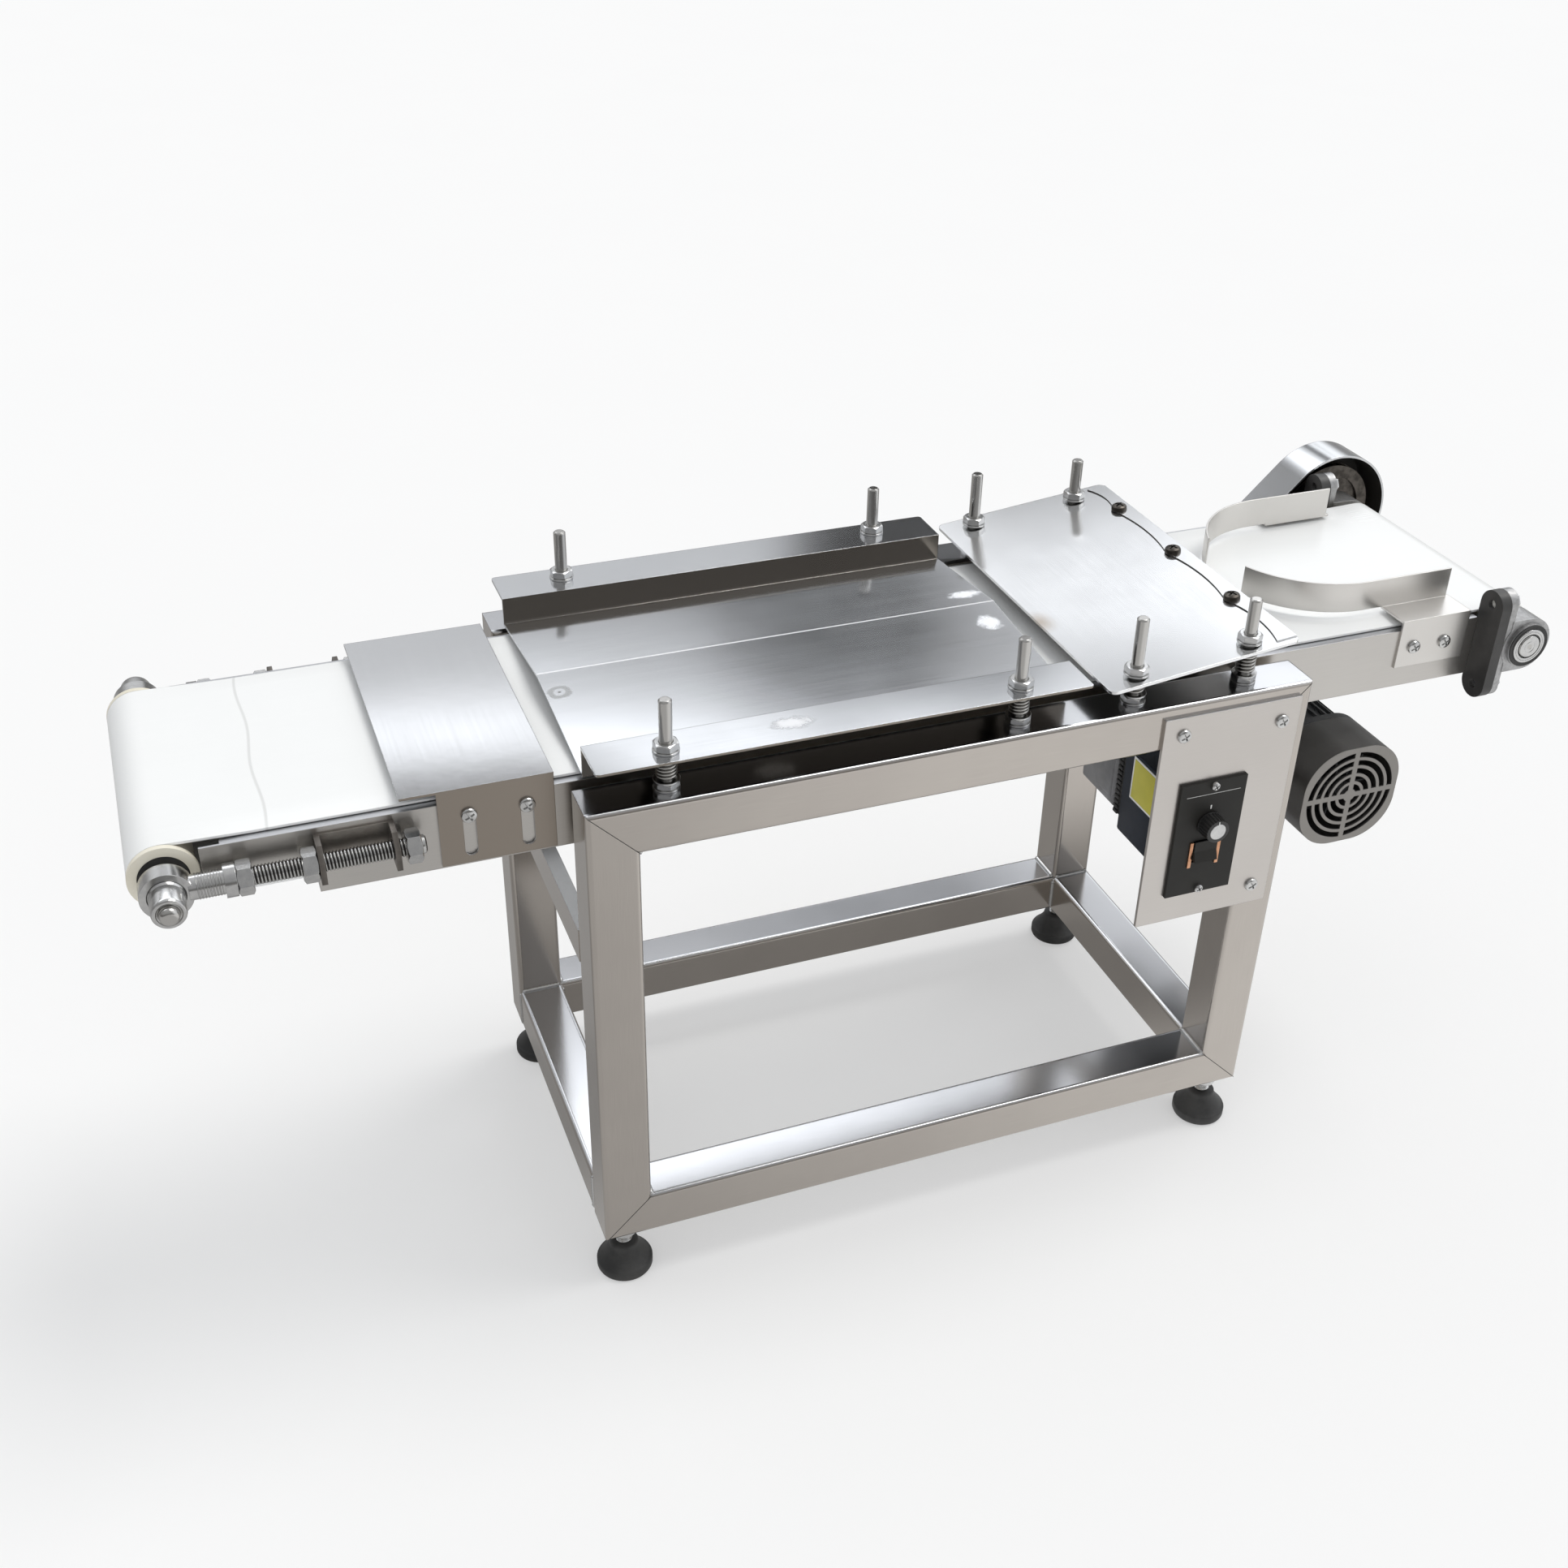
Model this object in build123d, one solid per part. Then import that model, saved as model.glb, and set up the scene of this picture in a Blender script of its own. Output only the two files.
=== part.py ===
# Baguette moulder: a belt on a low square-tube stand rolls dough under a tilted plate and a ridged tray.
# Sizes in millimetres. X runs along the belt from the exit to the infeed, Y to the rear, Z up from the floor.
# Drawn with x = 0 on the stand's left face and y = 0 on the belt's centre line, then moved to the origin.
import os
from math import asin, atan2, cos, degrees, hypot, pi, radians, sin, sqrt, tan

from build123d import *

# Stand
stand_length = 600
stand_depth = 330
stand_height = 420
foot_height = 50
tube = 40
tube_wall = 2
tube_corner = 4
stretcher_thickness = 12
stretcher_height = 30
stretcher_rise = 263

# Feet
pad_radius = 23.5
pad_height = 28
pad_rim = 9
pad_neck_radius = 12
stem_radius = 7
stem_rise = 22
lock_nut_height = 11

# Belt and bed
belt_rise = 5
belt_thickness = 2
belt_gap = 0.3
belt_margin = 7
deck_margin = 6
roller_radius = 22
roller_margin = 4
exit_overhang = 281
infeed_overhang = 233
bed_gap = 8
return_clearance = 9.4
bed_overhang = 256
bed_lip = 20
bed_end_lip = 31
bed_end_lip_half_height = 20
bed_notch_drop = 15
bed_lip_setback = 14
sheet = 2
deck_overhang = 240
spacer_inset = 60
spacer_size = 30
spacer_drop = 22

# Idler end
axle_radius = 7.5
axle_end_radius = 7
axle_dome = 4
axle_reach = 47
bearing_radius = 17.45
bearing_width = 11
bearing_recess = 2
rod_gap = 14
rod_radius = 7
rod_length = 156
rod_depth = 19
eye_radius = 18
eye_width = 14
ball_width = 19
ball_radius = 14.5
shank_radius = 9
shank_reach = 38
collar_radius = 12
collar_length = 8
nut_m14_flats = 22
nut_m14_height = 11
axle_nut_length = 18
axle_nut_radius = 12.2
axle_nut_chamfer = 1.5
bracket_offset = 100.5
bracket_length = 55.5
bracket_sheet = 4
bracket_reach = 26
bracket_drop = 10.7
bracket_top_drop = 4.7
bracket_corner = 10
end_nut_inset = 3.5

# Exit cover
cover_left = -120
cover_right = -10
cover_rise = 8
cover_flange_left = -94.5
cover_bottom_rise = 2.5
cover_screw_x = (-72.5, -30.5)
cover_screw_drop = 15
cover_lift = 30
slot_width = 9.5

# Drive end
shaft_radius = 10
shaft_front_reach = 29
shaft_rear_reach = 55
backing_length = 100
backing_width = 27
backing_thickness = 10
backing_gap = 12
block_base = 8
backing_clearance = 1.7
housing_radius = 24
housing_half_width = 12
insert_radius = 20
insert_half_width = 15
block_bolt_reach = 38

# Chain drive
pitch = 12.7
roller_teeth = 20
motor_teeth = 15
chain_links = 48
chain_gap = 40
tooth_width = 7.2
link_half_height = 5.5
link_thickness = 2.5
chain_roller_radius = 4.2
roller_hub_radius = 18
motor_hub_radius = 14
hub_front_reach = 9
hub_rear_reach = 12
drive_angle = 40.7
guard_front_reach = 16
guard_rear_reach = 24
guard_margin = 35.2
guard_motor_radius = 46
guard_post_radius = 5
guard_post_along = (66, 88)

# Gear motor
motor_square = 96
motor_corner = 38
cowl_length = 50
body_length = 122
gearbox_length = 80
gearbox_size = 90
motor_plate_thickness = 6
motor_radius = 43
motor_bore = 36
fin_count = 28
fin_height = 3
fin_width = 2.2
fan_radius = 36
fan_blades = 7
rotor_shaft_radius = 6
output_radius = 8
vent_inner = 6
vent_pitch = 8
vent_width = 5
vent_rings = 5
vent_bar = 5
plate_left_reach = 45
plate_right_reach = 74
plate_low_reach = 50
plate_step_drop = 7
plate_tab_reach = 22
plate_tab_rise = 45
plate_bolt_offsets = (-31, 8)
plate_bolt_rise = 25

# Moulding tray and pressure plate
tray_stud_gap = 26
tray_stud_pitch = 280
plate_stud_gap = 14
plate_stud_pitch = 100
stud_radius = 5
stud_rise = 72.6
stud_head = 6.5
nut_m10_flats = 17
nut_m10_height = 6
seat_nut_height = 5
washer_radius = 10
washer_thickness = 1.6
stud_hole_radius = 6
tray_left = 10
tray_end_reach = 54
tray_flange_rise = 26
tray_edge_inset = 3
tray_wall_gap = 3.7
tray_floor_rise = 3
tray_ridge_y = 10
tray_ridge_rise = 15
tray_corner = 3
press_left_reach = 29
press_right_reach = 37
press_edge_inset = 4.5
press_low_rise = 15
press_high_rise = 33
press_thickness = 2.5
press_corner = 6
strip_width = 18
strip_wave = 6
strip_thickness = 1
strip_bolt_y = (-79.5, 13.5, 106.5)
strip_bolt_inset = 12
wire = 1.2
spring_radius = 6.8
tray_spring_turns = 5
low_spring_turns = 3
high_spring_turns = 5

# Infeed guides
guide_rise = 5
guide_height = 26
guide_sheet = 1.5
guide_half_gap = 88
guide_end_offset = 50
guide_run = 83
guide_mouth_half = 29
guide_flange_offset = 47
guide_flange_length = 68
guide_flange_depth = 44
guide_screw_offsets = (100, 69)
guide_screw_drop = 20.5

# Control panel
panel_width = 125
panel_height = 200
panel_side_inset = 10.5
panel_top_drop = 10
panel_sheet = 3
panel_screw_offsets = ((18.1, -16.4), (108.8, -20), (108.8, -181))
face_width = 61
face_height = 110
face_inset = 22.5
face_drop = 63.5
face_thickness = 3
face_screw_inset = 4.6
control_margin = 2
control_top_margin = 11.5
control_height = 85
control_depth = 86
socket_inset = 1
socket_width = 47
socket_top_drop = 5
socket_height = 65
socket_depth = 67
knob_offset = 30.5
knob_drop = 40.5
knob_radius = 11
knob_length = 14
knob_gap = 1
spindle_radius = 3
rocker_offset = 30.5
rocker_drop = 67.5
rocker_width = 21
rocker_half_height = 9.5
rocker_depth = 7
rocker_tilt = 10
rocker_pocket_depth = 12

# Fasteners and fits
screw_radius = 3
pan_head_radius = 6
pan_head_height = 3.4
small_head_radius = 3.4
bolt_radius = 4
bolt_flats = 13
bolt_head = 5.3
screw_length = 9
fit = 0.05
thread_gap = 0.1
running = 0.3
clear = 0.6

# Derived levels
stand_bottom = foot_height
stand_top = stand_bottom + stand_height
stretcher_bottom = stand_bottom + stretcher_rise
rail_y = (stand_depth - tube) / 2
rail_inner_y = stand_depth / 2 - tube

# Derived bed and belt
belt_top = stand_top + belt_rise
belt_inner = roller_radius + belt_gap
belt_outer = belt_inner + belt_thickness
axis_z = belt_top - belt_outer
idler_x = -exit_overhang
drive_x = stand_length + infeed_overhang
bed_half_width = rail_inner_y - bed_gap
belt_half_width = bed_half_width - belt_margin
deck_half_width = belt_half_width - deck_margin
roller_half_length = bed_half_width - roller_margin
idler_half_length = bed_half_width - sheet - running
bed_top = belt_top - belt_thickness - belt_gap - sheet
bed_bottom = belt_top - 2 * belt_outer - return_clearance
bed_left = -bed_overhang
bed_right = drive_x - belt_outer - backing_clearance - backing_thickness
deck_left = -deck_overhang
spacer_x = (spacer_inset, stand_length - spacer_inset)
spacer_z = stand_top - spacer_drop

# Derived idler end and exit cover
axle_tip = bed_half_width + axle_reach
rod_y = bed_half_width + rod_gap
rod_left = idler_x + rod_depth
rod_right = rod_left + rod_length
shank_right = idler_x + shank_reach
bracket_left = idler_x + bracket_offset
bracket_right = bracket_left + bracket_length
bracket_edge_y = bed_half_width + bracket_reach
bracket_bottom = axis_z - bracket_drop
bracket_top = bed_top - bracket_top_drop
end_nut_right = rod_right - end_nut_inset
cover_top = belt_top + cover_rise
cover_bottom = bed_bottom + cover_bottom_rise
cover_screw_z = belt_top - cover_screw_drop
cover_inner_y = bed_half_width + running
cover_outer_y = cover_inner_y + sheet

# Derived drive end
shaft_front = -bed_half_width - shaft_front_reach
shaft_rear = bed_half_width + shaft_rear_reach
backing_y = bed_half_width + backing_gap
chain_y = bed_half_width + chain_gap
hub_front = chain_y - hub_front_reach
hub_rear = chain_y + hub_rear_reach
guard_front = chain_y - guard_front_reach
guard_rear = chain_y + guard_rear_reach
guard_radius = belt_outer + guard_margin
gearbox_front = bed_half_width - gearbox_length
body_front = gearbox_front - body_length
cowl_front = body_front - cowl_length
roller_pitch_radius = pitch / (2 * sin(pi / roller_teeth))
motor_pitch_radius = pitch / (2 * sin(pi / motor_teeth))
backing_left = bed_right
block_left = backing_left + backing_thickness

# Derived tray, plate and guides
stud_y = rail_y
stud_top = stand_top + stud_rise
tray_studs = (tube + tray_stud_gap, tube + tray_stud_gap + tray_stud_pitch)
plate_stud_right = stand_length - tube - plate_stud_gap
plate_studs = (plate_stud_right - plate_stud_pitch, plate_stud_right)
stud_x = tray_studs + plate_studs
seat_top = stand_top + 2 * washer_thickness + seat_nut_height
tray_right = tray_studs[1] + tray_end_reach
tray_flange_top = belt_top + tray_flange_rise
tray_half_width = stand_depth / 2 - tray_edge_inset
tray_wall_y = bed_half_width + tray_wall_gap
tray_floor = belt_top + tray_floor_rise
tray_ridge = belt_top + tray_ridge_rise
press_left = plate_studs[0] - press_left_reach
press_right = plate_studs[1] + press_right_reach
press_half_width = stand_depth / 2 - press_edge_inset
press_left_top = belt_top + press_low_rise
press_right_top = belt_top + press_high_rise
press_slope = (press_right_top - press_left_top) / (press_right - press_left)
press_tilt = degrees(atan2(press_right_top - press_left_top, press_right - press_left))
guide_bottom = belt_top + guide_rise
guide_top = guide_bottom + guide_height
guide_right = drive_x - guide_end_offset
guide_bend_x = guide_right - guide_run
guide_flange_right = drive_x - guide_flange_offset
guide_flange_left = guide_flange_right - guide_flange_length
guide_flange_bottom = guide_bottom - guide_flange_depth
guide_screw_x = tuple(drive_x - offset for offset in guide_screw_offsets)
guide_screw_z = belt_top - guide_screw_drop

# Derived control panel
panel_front = -stand_depth / 2 - panel_sheet
panel_right = stand_length - panel_side_inset
panel_left = panel_right - panel_width
panel_top = stand_top - panel_top_drop
panel_bottom = panel_top - panel_height
panel_screws = tuple((panel_left + right, panel_top + up) for right, up in panel_screw_offsets)
face_front = panel_front - face_thickness
face_left = panel_left + face_inset
face_right = face_left + face_width
face_top = panel_top - face_drop
face_bottom = face_top - face_height
control_left = face_left + control_margin
control_right = face_right - control_margin
control_top = face_top - control_top_margin
control_bottom = control_top - control_height
control_rear = panel_front + control_depth
socket_left = control_left + socket_inset
socket_right = socket_left + socket_width
socket_top = control_top - socket_top_drop
socket_bottom = socket_top - socket_height
socket_rear = control_rear + socket_depth
knob_x = face_left + knob_offset
knob_z = face_top - knob_drop
rocker_x = face_left + rocker_offset
rocker_z = face_top - rocker_drop

# Derived overall box and origin
left_end = idler_x - belt_outer
right_end = drive_x + guard_radius
front_end = face_front - knob_gap - knob_length
origin = Pos(-(left_end + right_end) / 2, -(front_end + guard_rear) / 2, 0)


def chain_centre_distance():
    # Distance between the two sprockets that the whole number of links just fills.
    def links(distance):
        slant = (roller_pitch_radius - motor_pitch_radius) / distance
        straight = 2 * sqrt(distance**2 * (1 - slant**2)) / pitch
        wrap = (roller_teeth + motor_teeth) / 2 + slant * (roller_teeth - motor_teeth) / pi
        return straight + wrap

    low = roller_pitch_radius + motor_pitch_radius
    high = chain_links * pitch
    for _ in range(60):
        middle = (low + high) / 2
        if links(middle) < chain_links:
            low = middle
        else:
            high = middle
    return middle


centre_distance = chain_centre_distance()
motor_x = drive_x - centre_distance * cos(radians(drive_angle))
motor_z = axis_z - centre_distance * sin(radians(drive_angle))
plate_left = motor_x - plate_left_reach
plate_right = motor_x + plate_right_reach
plate_low = motor_z - plate_low_reach
plate_step = bed_bottom - plate_step_drop
plate_tab_right = motor_x + plate_tab_reach
plate_top = bed_bottom + plate_tab_rise
plate_bolt_x = tuple(motor_x + offset for offset in plate_bolt_offsets)
plate_bolt_z = bed_bottom + plate_bolt_rise


# Small building helpers
def block(x0, x1, y0, y1, z0, z1):
    return Pos((x0 + x1) / 2, (y0 + y1) / 2, (z0 + z1) / 2) * Box(x1 - x0, y1 - y0, z1 - z0)


def round_x(radius, x0, x1, y, z):
    return Pos(x0, y, z) * extrude(Plane.YZ * Circle(radius), x1 - x0)


def round_y(radius, y0, y1, x, z):
    return Pos(x, y1, z) * extrude(Plane.XZ * Circle(radius), y1 - y0)


def round_z(radius, z0, z1, x, y):
    return Pos(x, y, z0) * extrude(Circle(radius), z1 - z0)


def hexagon(flats):
    return RegularPolygon(flats / 2, 6, major_radius=False)


def nut_z(flats, bore, z0, z1, x, y):
    return Pos(x, y, z0) * extrude(hexagon(flats) - Circle(bore), z1 - z0)


def nut_x(flats, bore, x0, x1, y, z):
    return Pos(x0, y, z) * extrude(Plane.YZ * (hexagon(flats) - Circle(bore)), x1 - x0)


def slab_xz(sketch, y0, y1):
    return Pos(0, y1, 0) * extrude(Plane.XZ * sketch, y1 - y0)


def slab_yz(sketch, x0, x1):
    return Pos(x0, 0, 0) * extrude(Plane.YZ * sketch, x1 - x0)


def outline(*points):
    # Closed polygon, turned counter-clockwise so that every slab grows the same way.
    turn = sum(a[0] * b[1] - a[1] * b[0] for a, b in zip(points, points[1:] + points[:1]))
    return Polygon(*(points if turn > 0 else points[::-1]), align=None)


def rear_of(part):
    return mirror(part, about=Plane.XZ)


def both_sides(part):
    return [part, rear_of(part)]


def hex_bolt_x(x_seat, x_tip, y, z):
    # Head to the right of its seat, shank to the left.
    head = Pos(x_seat, y, z) * extrude(Plane.YZ * hexagon(bolt_flats), bolt_head)
    return head + round_x(bolt_radius, x_tip, x_seat, y, z)


def hex_bolt_y(y_seat, y_tip, x, z):
    # Head on the far side of its seat from the tip.
    if y_tip < y_seat:
        head = Pos(x, y_seat + bolt_head, z) * extrude(Plane.XZ * hexagon(bolt_flats), bolt_head)
        return head + round_y(bolt_radius, y_tip, y_seat, x, z)
    head = Pos(x, y_seat, z) * extrude(Plane.XZ * hexagon(bolt_flats), bolt_head)
    return head + round_y(bolt_radius, y_seat, y_tip, x, z)


def pan_head(y_seat, x, z, head_radius=pan_head_radius, length=screw_length):
    # Front-facing screw: domed head in front of its seat, shank running to the rear.
    head = round_y(head_radius, y_seat - pan_head_height, y_seat, x, z)
    front_edge = head.faces().sort_by(Axis.Y)[0].edges()
    head = fillet(front_edge, pan_head_height * 0.6)
    return head + round_y(screw_radius * head_radius / pan_head_radius, y_seat, y_seat + length, x, z)


# Stand
def tube_section():
    inner = tube - 2 * tube_wall
    hole = RectangleRounded(inner, inner, tube_corner - tube_wall)
    return RectangleRounded(tube, tube, tube_corner) - hole


def tube_x(x0, x1, y, z):
    return Pos(x0, y, z) * extrude(Plane.YZ * tube_section(), x1 - x0)


def tube_y(y0, y1, x, z):
    return Pos(x, y0, z) * extrude(Plane.ZX * tube_section(), y1 - y0)


def tube_z(z0, z1, x, y):
    return Pos(x, y, z0) * extrude(tube_section(), z1 - z0)


def mitred_frame(y):
    # One upright frame: top rail, bottom rail, left leg, right leg, cut at 45 degrees where they meet.
    x0, x1, z0, z1 = 0, stand_length, stand_bottom, stand_top
    y0, y1 = y - tube / 2, y + tube / 2
    top = outline((x0, z1), (x0 + tube, z1 - tube), (x1 - tube, z1 - tube), (x1, z1))
    bottom = outline((x0, z0), (x1, z0), (x1 - tube, z0 + tube), (x0 + tube, z0 + tube))
    left = outline((x0, z0), (x0 + tube, z0 + tube), (x0 + tube, z1 - tube), (x0, z1))
    right = outline((x1, z0), (x1, z1), (x1 - tube, z1 - tube), (x1 - tube, z0 + tube))
    half = tube / 2
    return (
        tube_x(x0, x1, y, z1 - half) & slab_xz(top, y0, y1),
        tube_x(x0, x1, y, z0 + half) & slab_xz(bottom, y0, y1),
        tube_z(z0, z1, x0 + half, y) & slab_xz(left, y0, y1),
        tube_z(z0, z1, x1 - half, y) & slab_xz(right, y0, y1),
    )


def drilled_top_rail(rail):
    for x in stud_x:
        rail -= round_z(stud_radius + clear, stand_top - tube, stand_top, x, -stud_y)
    for x in spacer_x:
        rail -= round_y(bolt_radius + running, -rail_inner_y - 2 * tube_wall, -rail_inner_y, x, spacer_z)
    return rail


def drilled_bottom_rail(rail):
    for x in (tube / 2, stand_length - tube / 2):
        rail -= round_z(stem_radius + clear, stand_bottom, stand_bottom + 2 * tube_wall, x, -rail_y)
    return rail


def stand_nodes():
    top, bottom, left, right = mitred_frame(-rail_y)
    top = drilled_top_rail(top)
    bottom = drilled_bottom_rail(bottom)
    rear = [rear_of(part) for part in (top, bottom, left, right)]
    for x, z in panel_screws:
        hole = round_y(screw_radius + fit, -stand_depth / 2, -stand_depth / 2 + 2 * tube_wall, x, z)
        top -= hole
        right -= hole
    cross = tube_y(-rail_inner_y, rail_inner_y, tube / 2, stand_bottom + tube / 2)
    bar_top = stretcher_bottom + stretcher_height
    bar = block(0, stretcher_thickness, -rail_inner_y, rail_inner_y, stretcher_bottom, bar_top)
    far_bar = Pos(stand_length - stretcher_thickness, 0, 0) * bar
    return {
        "top_rail_front": [top],
        "top_rail_rear": [rear[0]],
        "bottom_rail_front": [bottom],
        "bottom_rail_rear": [rear[1]],
        "leg_front_left": [left],
        "leg_rear_left": [rear[2]],
        "leg_front_right": [right],
        "leg_rear_right": [rear[3]],
        "bottom_rail_left": [cross],
        "bottom_rail_right": [Pos(stand_length - tube, 0, 0) * cross],
        "side_stretchers": [bar, far_bar],
    }


def foot(x, y):
    profile = outline(
        (0, 0), (pad_radius, 0), (pad_radius, pad_rim), (pad_neck_radius, pad_height), (0, pad_height)
    )
    pad = Pos(x, y, 0) * revolve(Plane.XZ * profile, Axis.Z)
    stem = round_z(stem_radius, pad_height, stand_bottom + stem_rise, x, y)
    return [pad, stem]


def foot_nodes():
    x_left, x_right = tube / 2, stand_length - tube / 2
    return {
        "foot_front_left": foot(x_left, -rail_y),
        "foot_front_right": foot(x_right, -rail_y),
        "foot_rear_left": foot(x_left, rail_y),
        "foot_rear_right": foot(x_right, rail_y),
    }


def large_nuts():
    nuts = []
    low = stand_bottom - lock_nut_height
    for x in (tube / 2, stand_length - tube / 2):
        nuts += both_sides(nut_z(nut_m14_flats, stem_radius + thread_gap, low, stand_bottom, x, -rail_y))
    bore = rod_radius + thread_gap
    nuts += both_sides(
        nut_x(nut_m14_flats, bore, bracket_left - nut_m14_height, bracket_left, -rod_y, axis_z)
    )
    return nuts


# Bed
def bed_side(rear=False):
    y0, y1 = -bed_half_width, -bed_half_width + bed_lip
    wall = -bed_half_width + sheet
    section = outline(
        (y0, bed_bottom), (y1, bed_bottom), (y1, bed_bottom + sheet), (wall, bed_bottom + sheet),
        (wall, bed_top - sheet), (y1, bed_top - sheet), (y1, bed_top), (y0, bed_top),
    )
    side = slab_yz(section, bed_left, bed_right)
    side -= block(bed_left, bracket_left, y0, y1, bed_bottom, axis_z - bed_notch_drop)
    side -= block(bed_left, bed_left + bed_lip_setback, wall, y1, bed_bottom, bed_top)
    lip_low, lip_high = axis_z - bed_end_lip_half_height, axis_z + bed_end_lip_half_height - sheet
    side += block(bed_right - sheet, bed_right, y0, y0 + bed_end_lip, lip_low, min(lip_high, bed_top - sheet))
    side -= round_x(bolt_radius + running, bed_right - sheet, bed_right, -tongue_bolt_y(), axis_z)
    holes = [(x, cover_screw_z, screw_radius) for x in cover_screw_x]
    holes += [(x, guide_screw_z, screw_radius) for x in guide_screw_x]
    holes += [(x, spacer_z, bolt_radius) for x in spacer_x]
    if rear:
        holes += [(x, plate_bolt_z, bolt_radius) for x in plate_bolt_x]
    for x, z, radius in holes:
        side -= round_y(radius + fit, y0, wall, x, z)
    return rear_of(side) if rear else side


def tongue_bolt_y():
    return bed_half_width - bed_end_lip + 9


def bed_spacers():
    half = spacer_size / 2
    spacers = []
    for x in spacer_x:
        plate = block(x - half, x + half, -rail_inner_y, -bed_half_width, spacer_z - half, spacer_z + half)
        plate -= round_y(bolt_radius + running, -rail_inner_y, -bed_half_width, x, spacer_z)
        spacers += both_sides(plate)
    return spacers


def conveyor_belt():
    reach = drive_x - idler_x
    loop = SlotCenterToCenter(reach, 2 * belt_outer) - SlotCenterToCenter(reach, 2 * belt_inner)
    return slab_xz(Pos((idler_x + drive_x) / 2, axis_z) * loop, -belt_half_width, belt_half_width)


def bed_nodes():
    deck = block(deck_left, bed_right, -deck_half_width, deck_half_width, bed_top, bed_top + sheet)
    return {
        "bed_side_front": [bed_side()],
        "bed_side_rear": [bed_side(rear=True)],
        "slider_deck": [deck],
        "bed_spacers": bed_spacers(),
        "conveyor_belt": [conveyor_belt()],
    }


# Idler end
def idler_roller():
    # Tube with a rim at each end that keeps the belt from wandering off.
    centre = Pos(idler_x, axis_z)
    ring = Circle(roller_radius) - Circle(bearing_radius + fit)
    roller = slab_xz(centre * ring, -idler_half_length, idler_half_length)
    rim = Circle(belt_outer) - Circle(bearing_radius + fit)
    rim = slab_xz(centre * rim, -idler_half_length, -belt_half_width - running)
    return roller + rim + rear_of(rim)


def idler_bearings():
    rear_face = -idler_half_length + bearing_recess + bearing_width
    ring = Circle(bearing_radius) - Circle(axle_radius + fit)
    return both_sides(slab_xz(Pos(idler_x, axis_z) * ring, rear_face - bearing_width, rear_face))


def idler_shaft():
    shoulder = rod_y - ball_width / 2
    shaft = round_y(axle_end_radius, -axle_tip, axle_tip, idler_x, axis_z)
    tips = [shaft.faces().sort_by(Axis.Y)[0], shaft.faces().sort_by(Axis.Y)[-1]]
    shaft = fillet([edge for face in tips for edge in face.edges()], axle_dome)
    return shaft + round_y(axle_radius, -shoulder, shoulder, idler_x, axis_z)


def rod_end():
    # Eye, hollow shank and collar in one forging, with a separate ball carrying the axle.
    y0, y1 = -rod_y - eye_width / 2, -rod_y + eye_width / 2
    eye = round_y(eye_radius, y0, y1, idler_x, axis_z)
    eye += round_x(shank_radius, idler_x + ball_radius, shank_right, -rod_y, axis_z)
    eye += round_x(collar_radius, shank_right, shank_right + collar_length, -rod_y, axis_z)
    centre = Pos(idler_x, -rod_y, axis_z)
    eye -= centre * Sphere(ball_radius + running)
    bore_start = rod_left - 1
    eye -= round_x(rod_radius + fit, bore_start, shank_right + collar_length, -rod_y, axis_z)
    ball = centre * Sphere(ball_radius)
    ball &= centre * Box(3 * ball_radius, ball_width, 3 * ball_radius)
    ball -= round_y(axle_end_radius + fit, -rod_y - ball_width, -rod_y + ball_width, idler_x, axis_z)
    return [eye, ball]


def carriage_nuts():
    nuts = []
    bore = rod_radius + fit
    jam_left = shank_right + collar_length
    for left in (jam_left, end_nut_right - nut_m14_height):
        nuts += both_sides(nut_x(nut_m14_flats, bore, left, left + nut_m14_height, -rod_y, axis_z))
    seat = -rod_y - ball_width / 2
    nut = round_y(axle_nut_radius, seat - axle_nut_length, seat, idler_x, axis_z)
    nut = chamfer(nut.faces().sort_by(Axis.Y)[0].edges(), axle_nut_chamfer)
    nut -= round_y(axle_end_radius + fit, seat - axle_nut_length, seat, idler_x, axis_z)
    return nuts + both_sides(nut)


def tension_bracket():
    # Plate on the bed side with two ears, their outer top corners cut off, that the rod slides through.
    wall = -bed_half_width - sheet
    part = block(bracket_left, bracket_right, wall, -bed_half_width, bracket_bottom, bracket_top)
    ear = outline(
        (wall, bracket_bottom), (-bracket_edge_y, bracket_bottom),
        (-bracket_edge_y, bracket_top - bracket_corner), (bracket_corner - bracket_edge_y, bracket_top),
        (wall, bracket_top),
    )
    for left in (bracket_left, bracket_right - bracket_sheet):
        part += slab_yz(ear, left, left + bracket_sheet)
    return part - round_x(rod_radius + clear, bracket_left, bracket_right, -rod_y, axis_z)


def idler_nodes():
    rod = round_x(rod_radius, rod_left, rod_right, -rod_y, axis_z)
    rod = chamfer(rod.edges().filter_by(GeomType.CIRCLE), 1)
    eye, ball = rod_end()
    return {
        "idler_roller": [idler_roller()],
        "idler_bearings": idler_bearings(),
        "idler_shaft": [idler_shaft()],
        "rod_ends": both_sides(eye) + both_sides(ball),
        "tension_rods": both_sides(rod),
        "carriage_nuts": carriage_nuts(),
        "tension_brackets": both_sides(tension_bracket()),
    }


# Exit cover
def exit_cover():
    top = block(cover_left, cover_right, -cover_outer_y, cover_outer_y, cover_top - sheet, cover_top)
    flange = block(cover_flange_left, cover_right, -cover_outer_y, -cover_inner_y, cover_bottom, cover_top)
    slot = SlotCenterToCenter(cover_lift, slot_width, rotation=90)
    for x in cover_screw_x:
        place = Pos(x, cover_screw_z - cover_lift / 2)
        flange -= slab_xz(place * slot, -cover_outer_y, -cover_inner_y)
    return top + flange + rear_of(flange)


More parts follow.
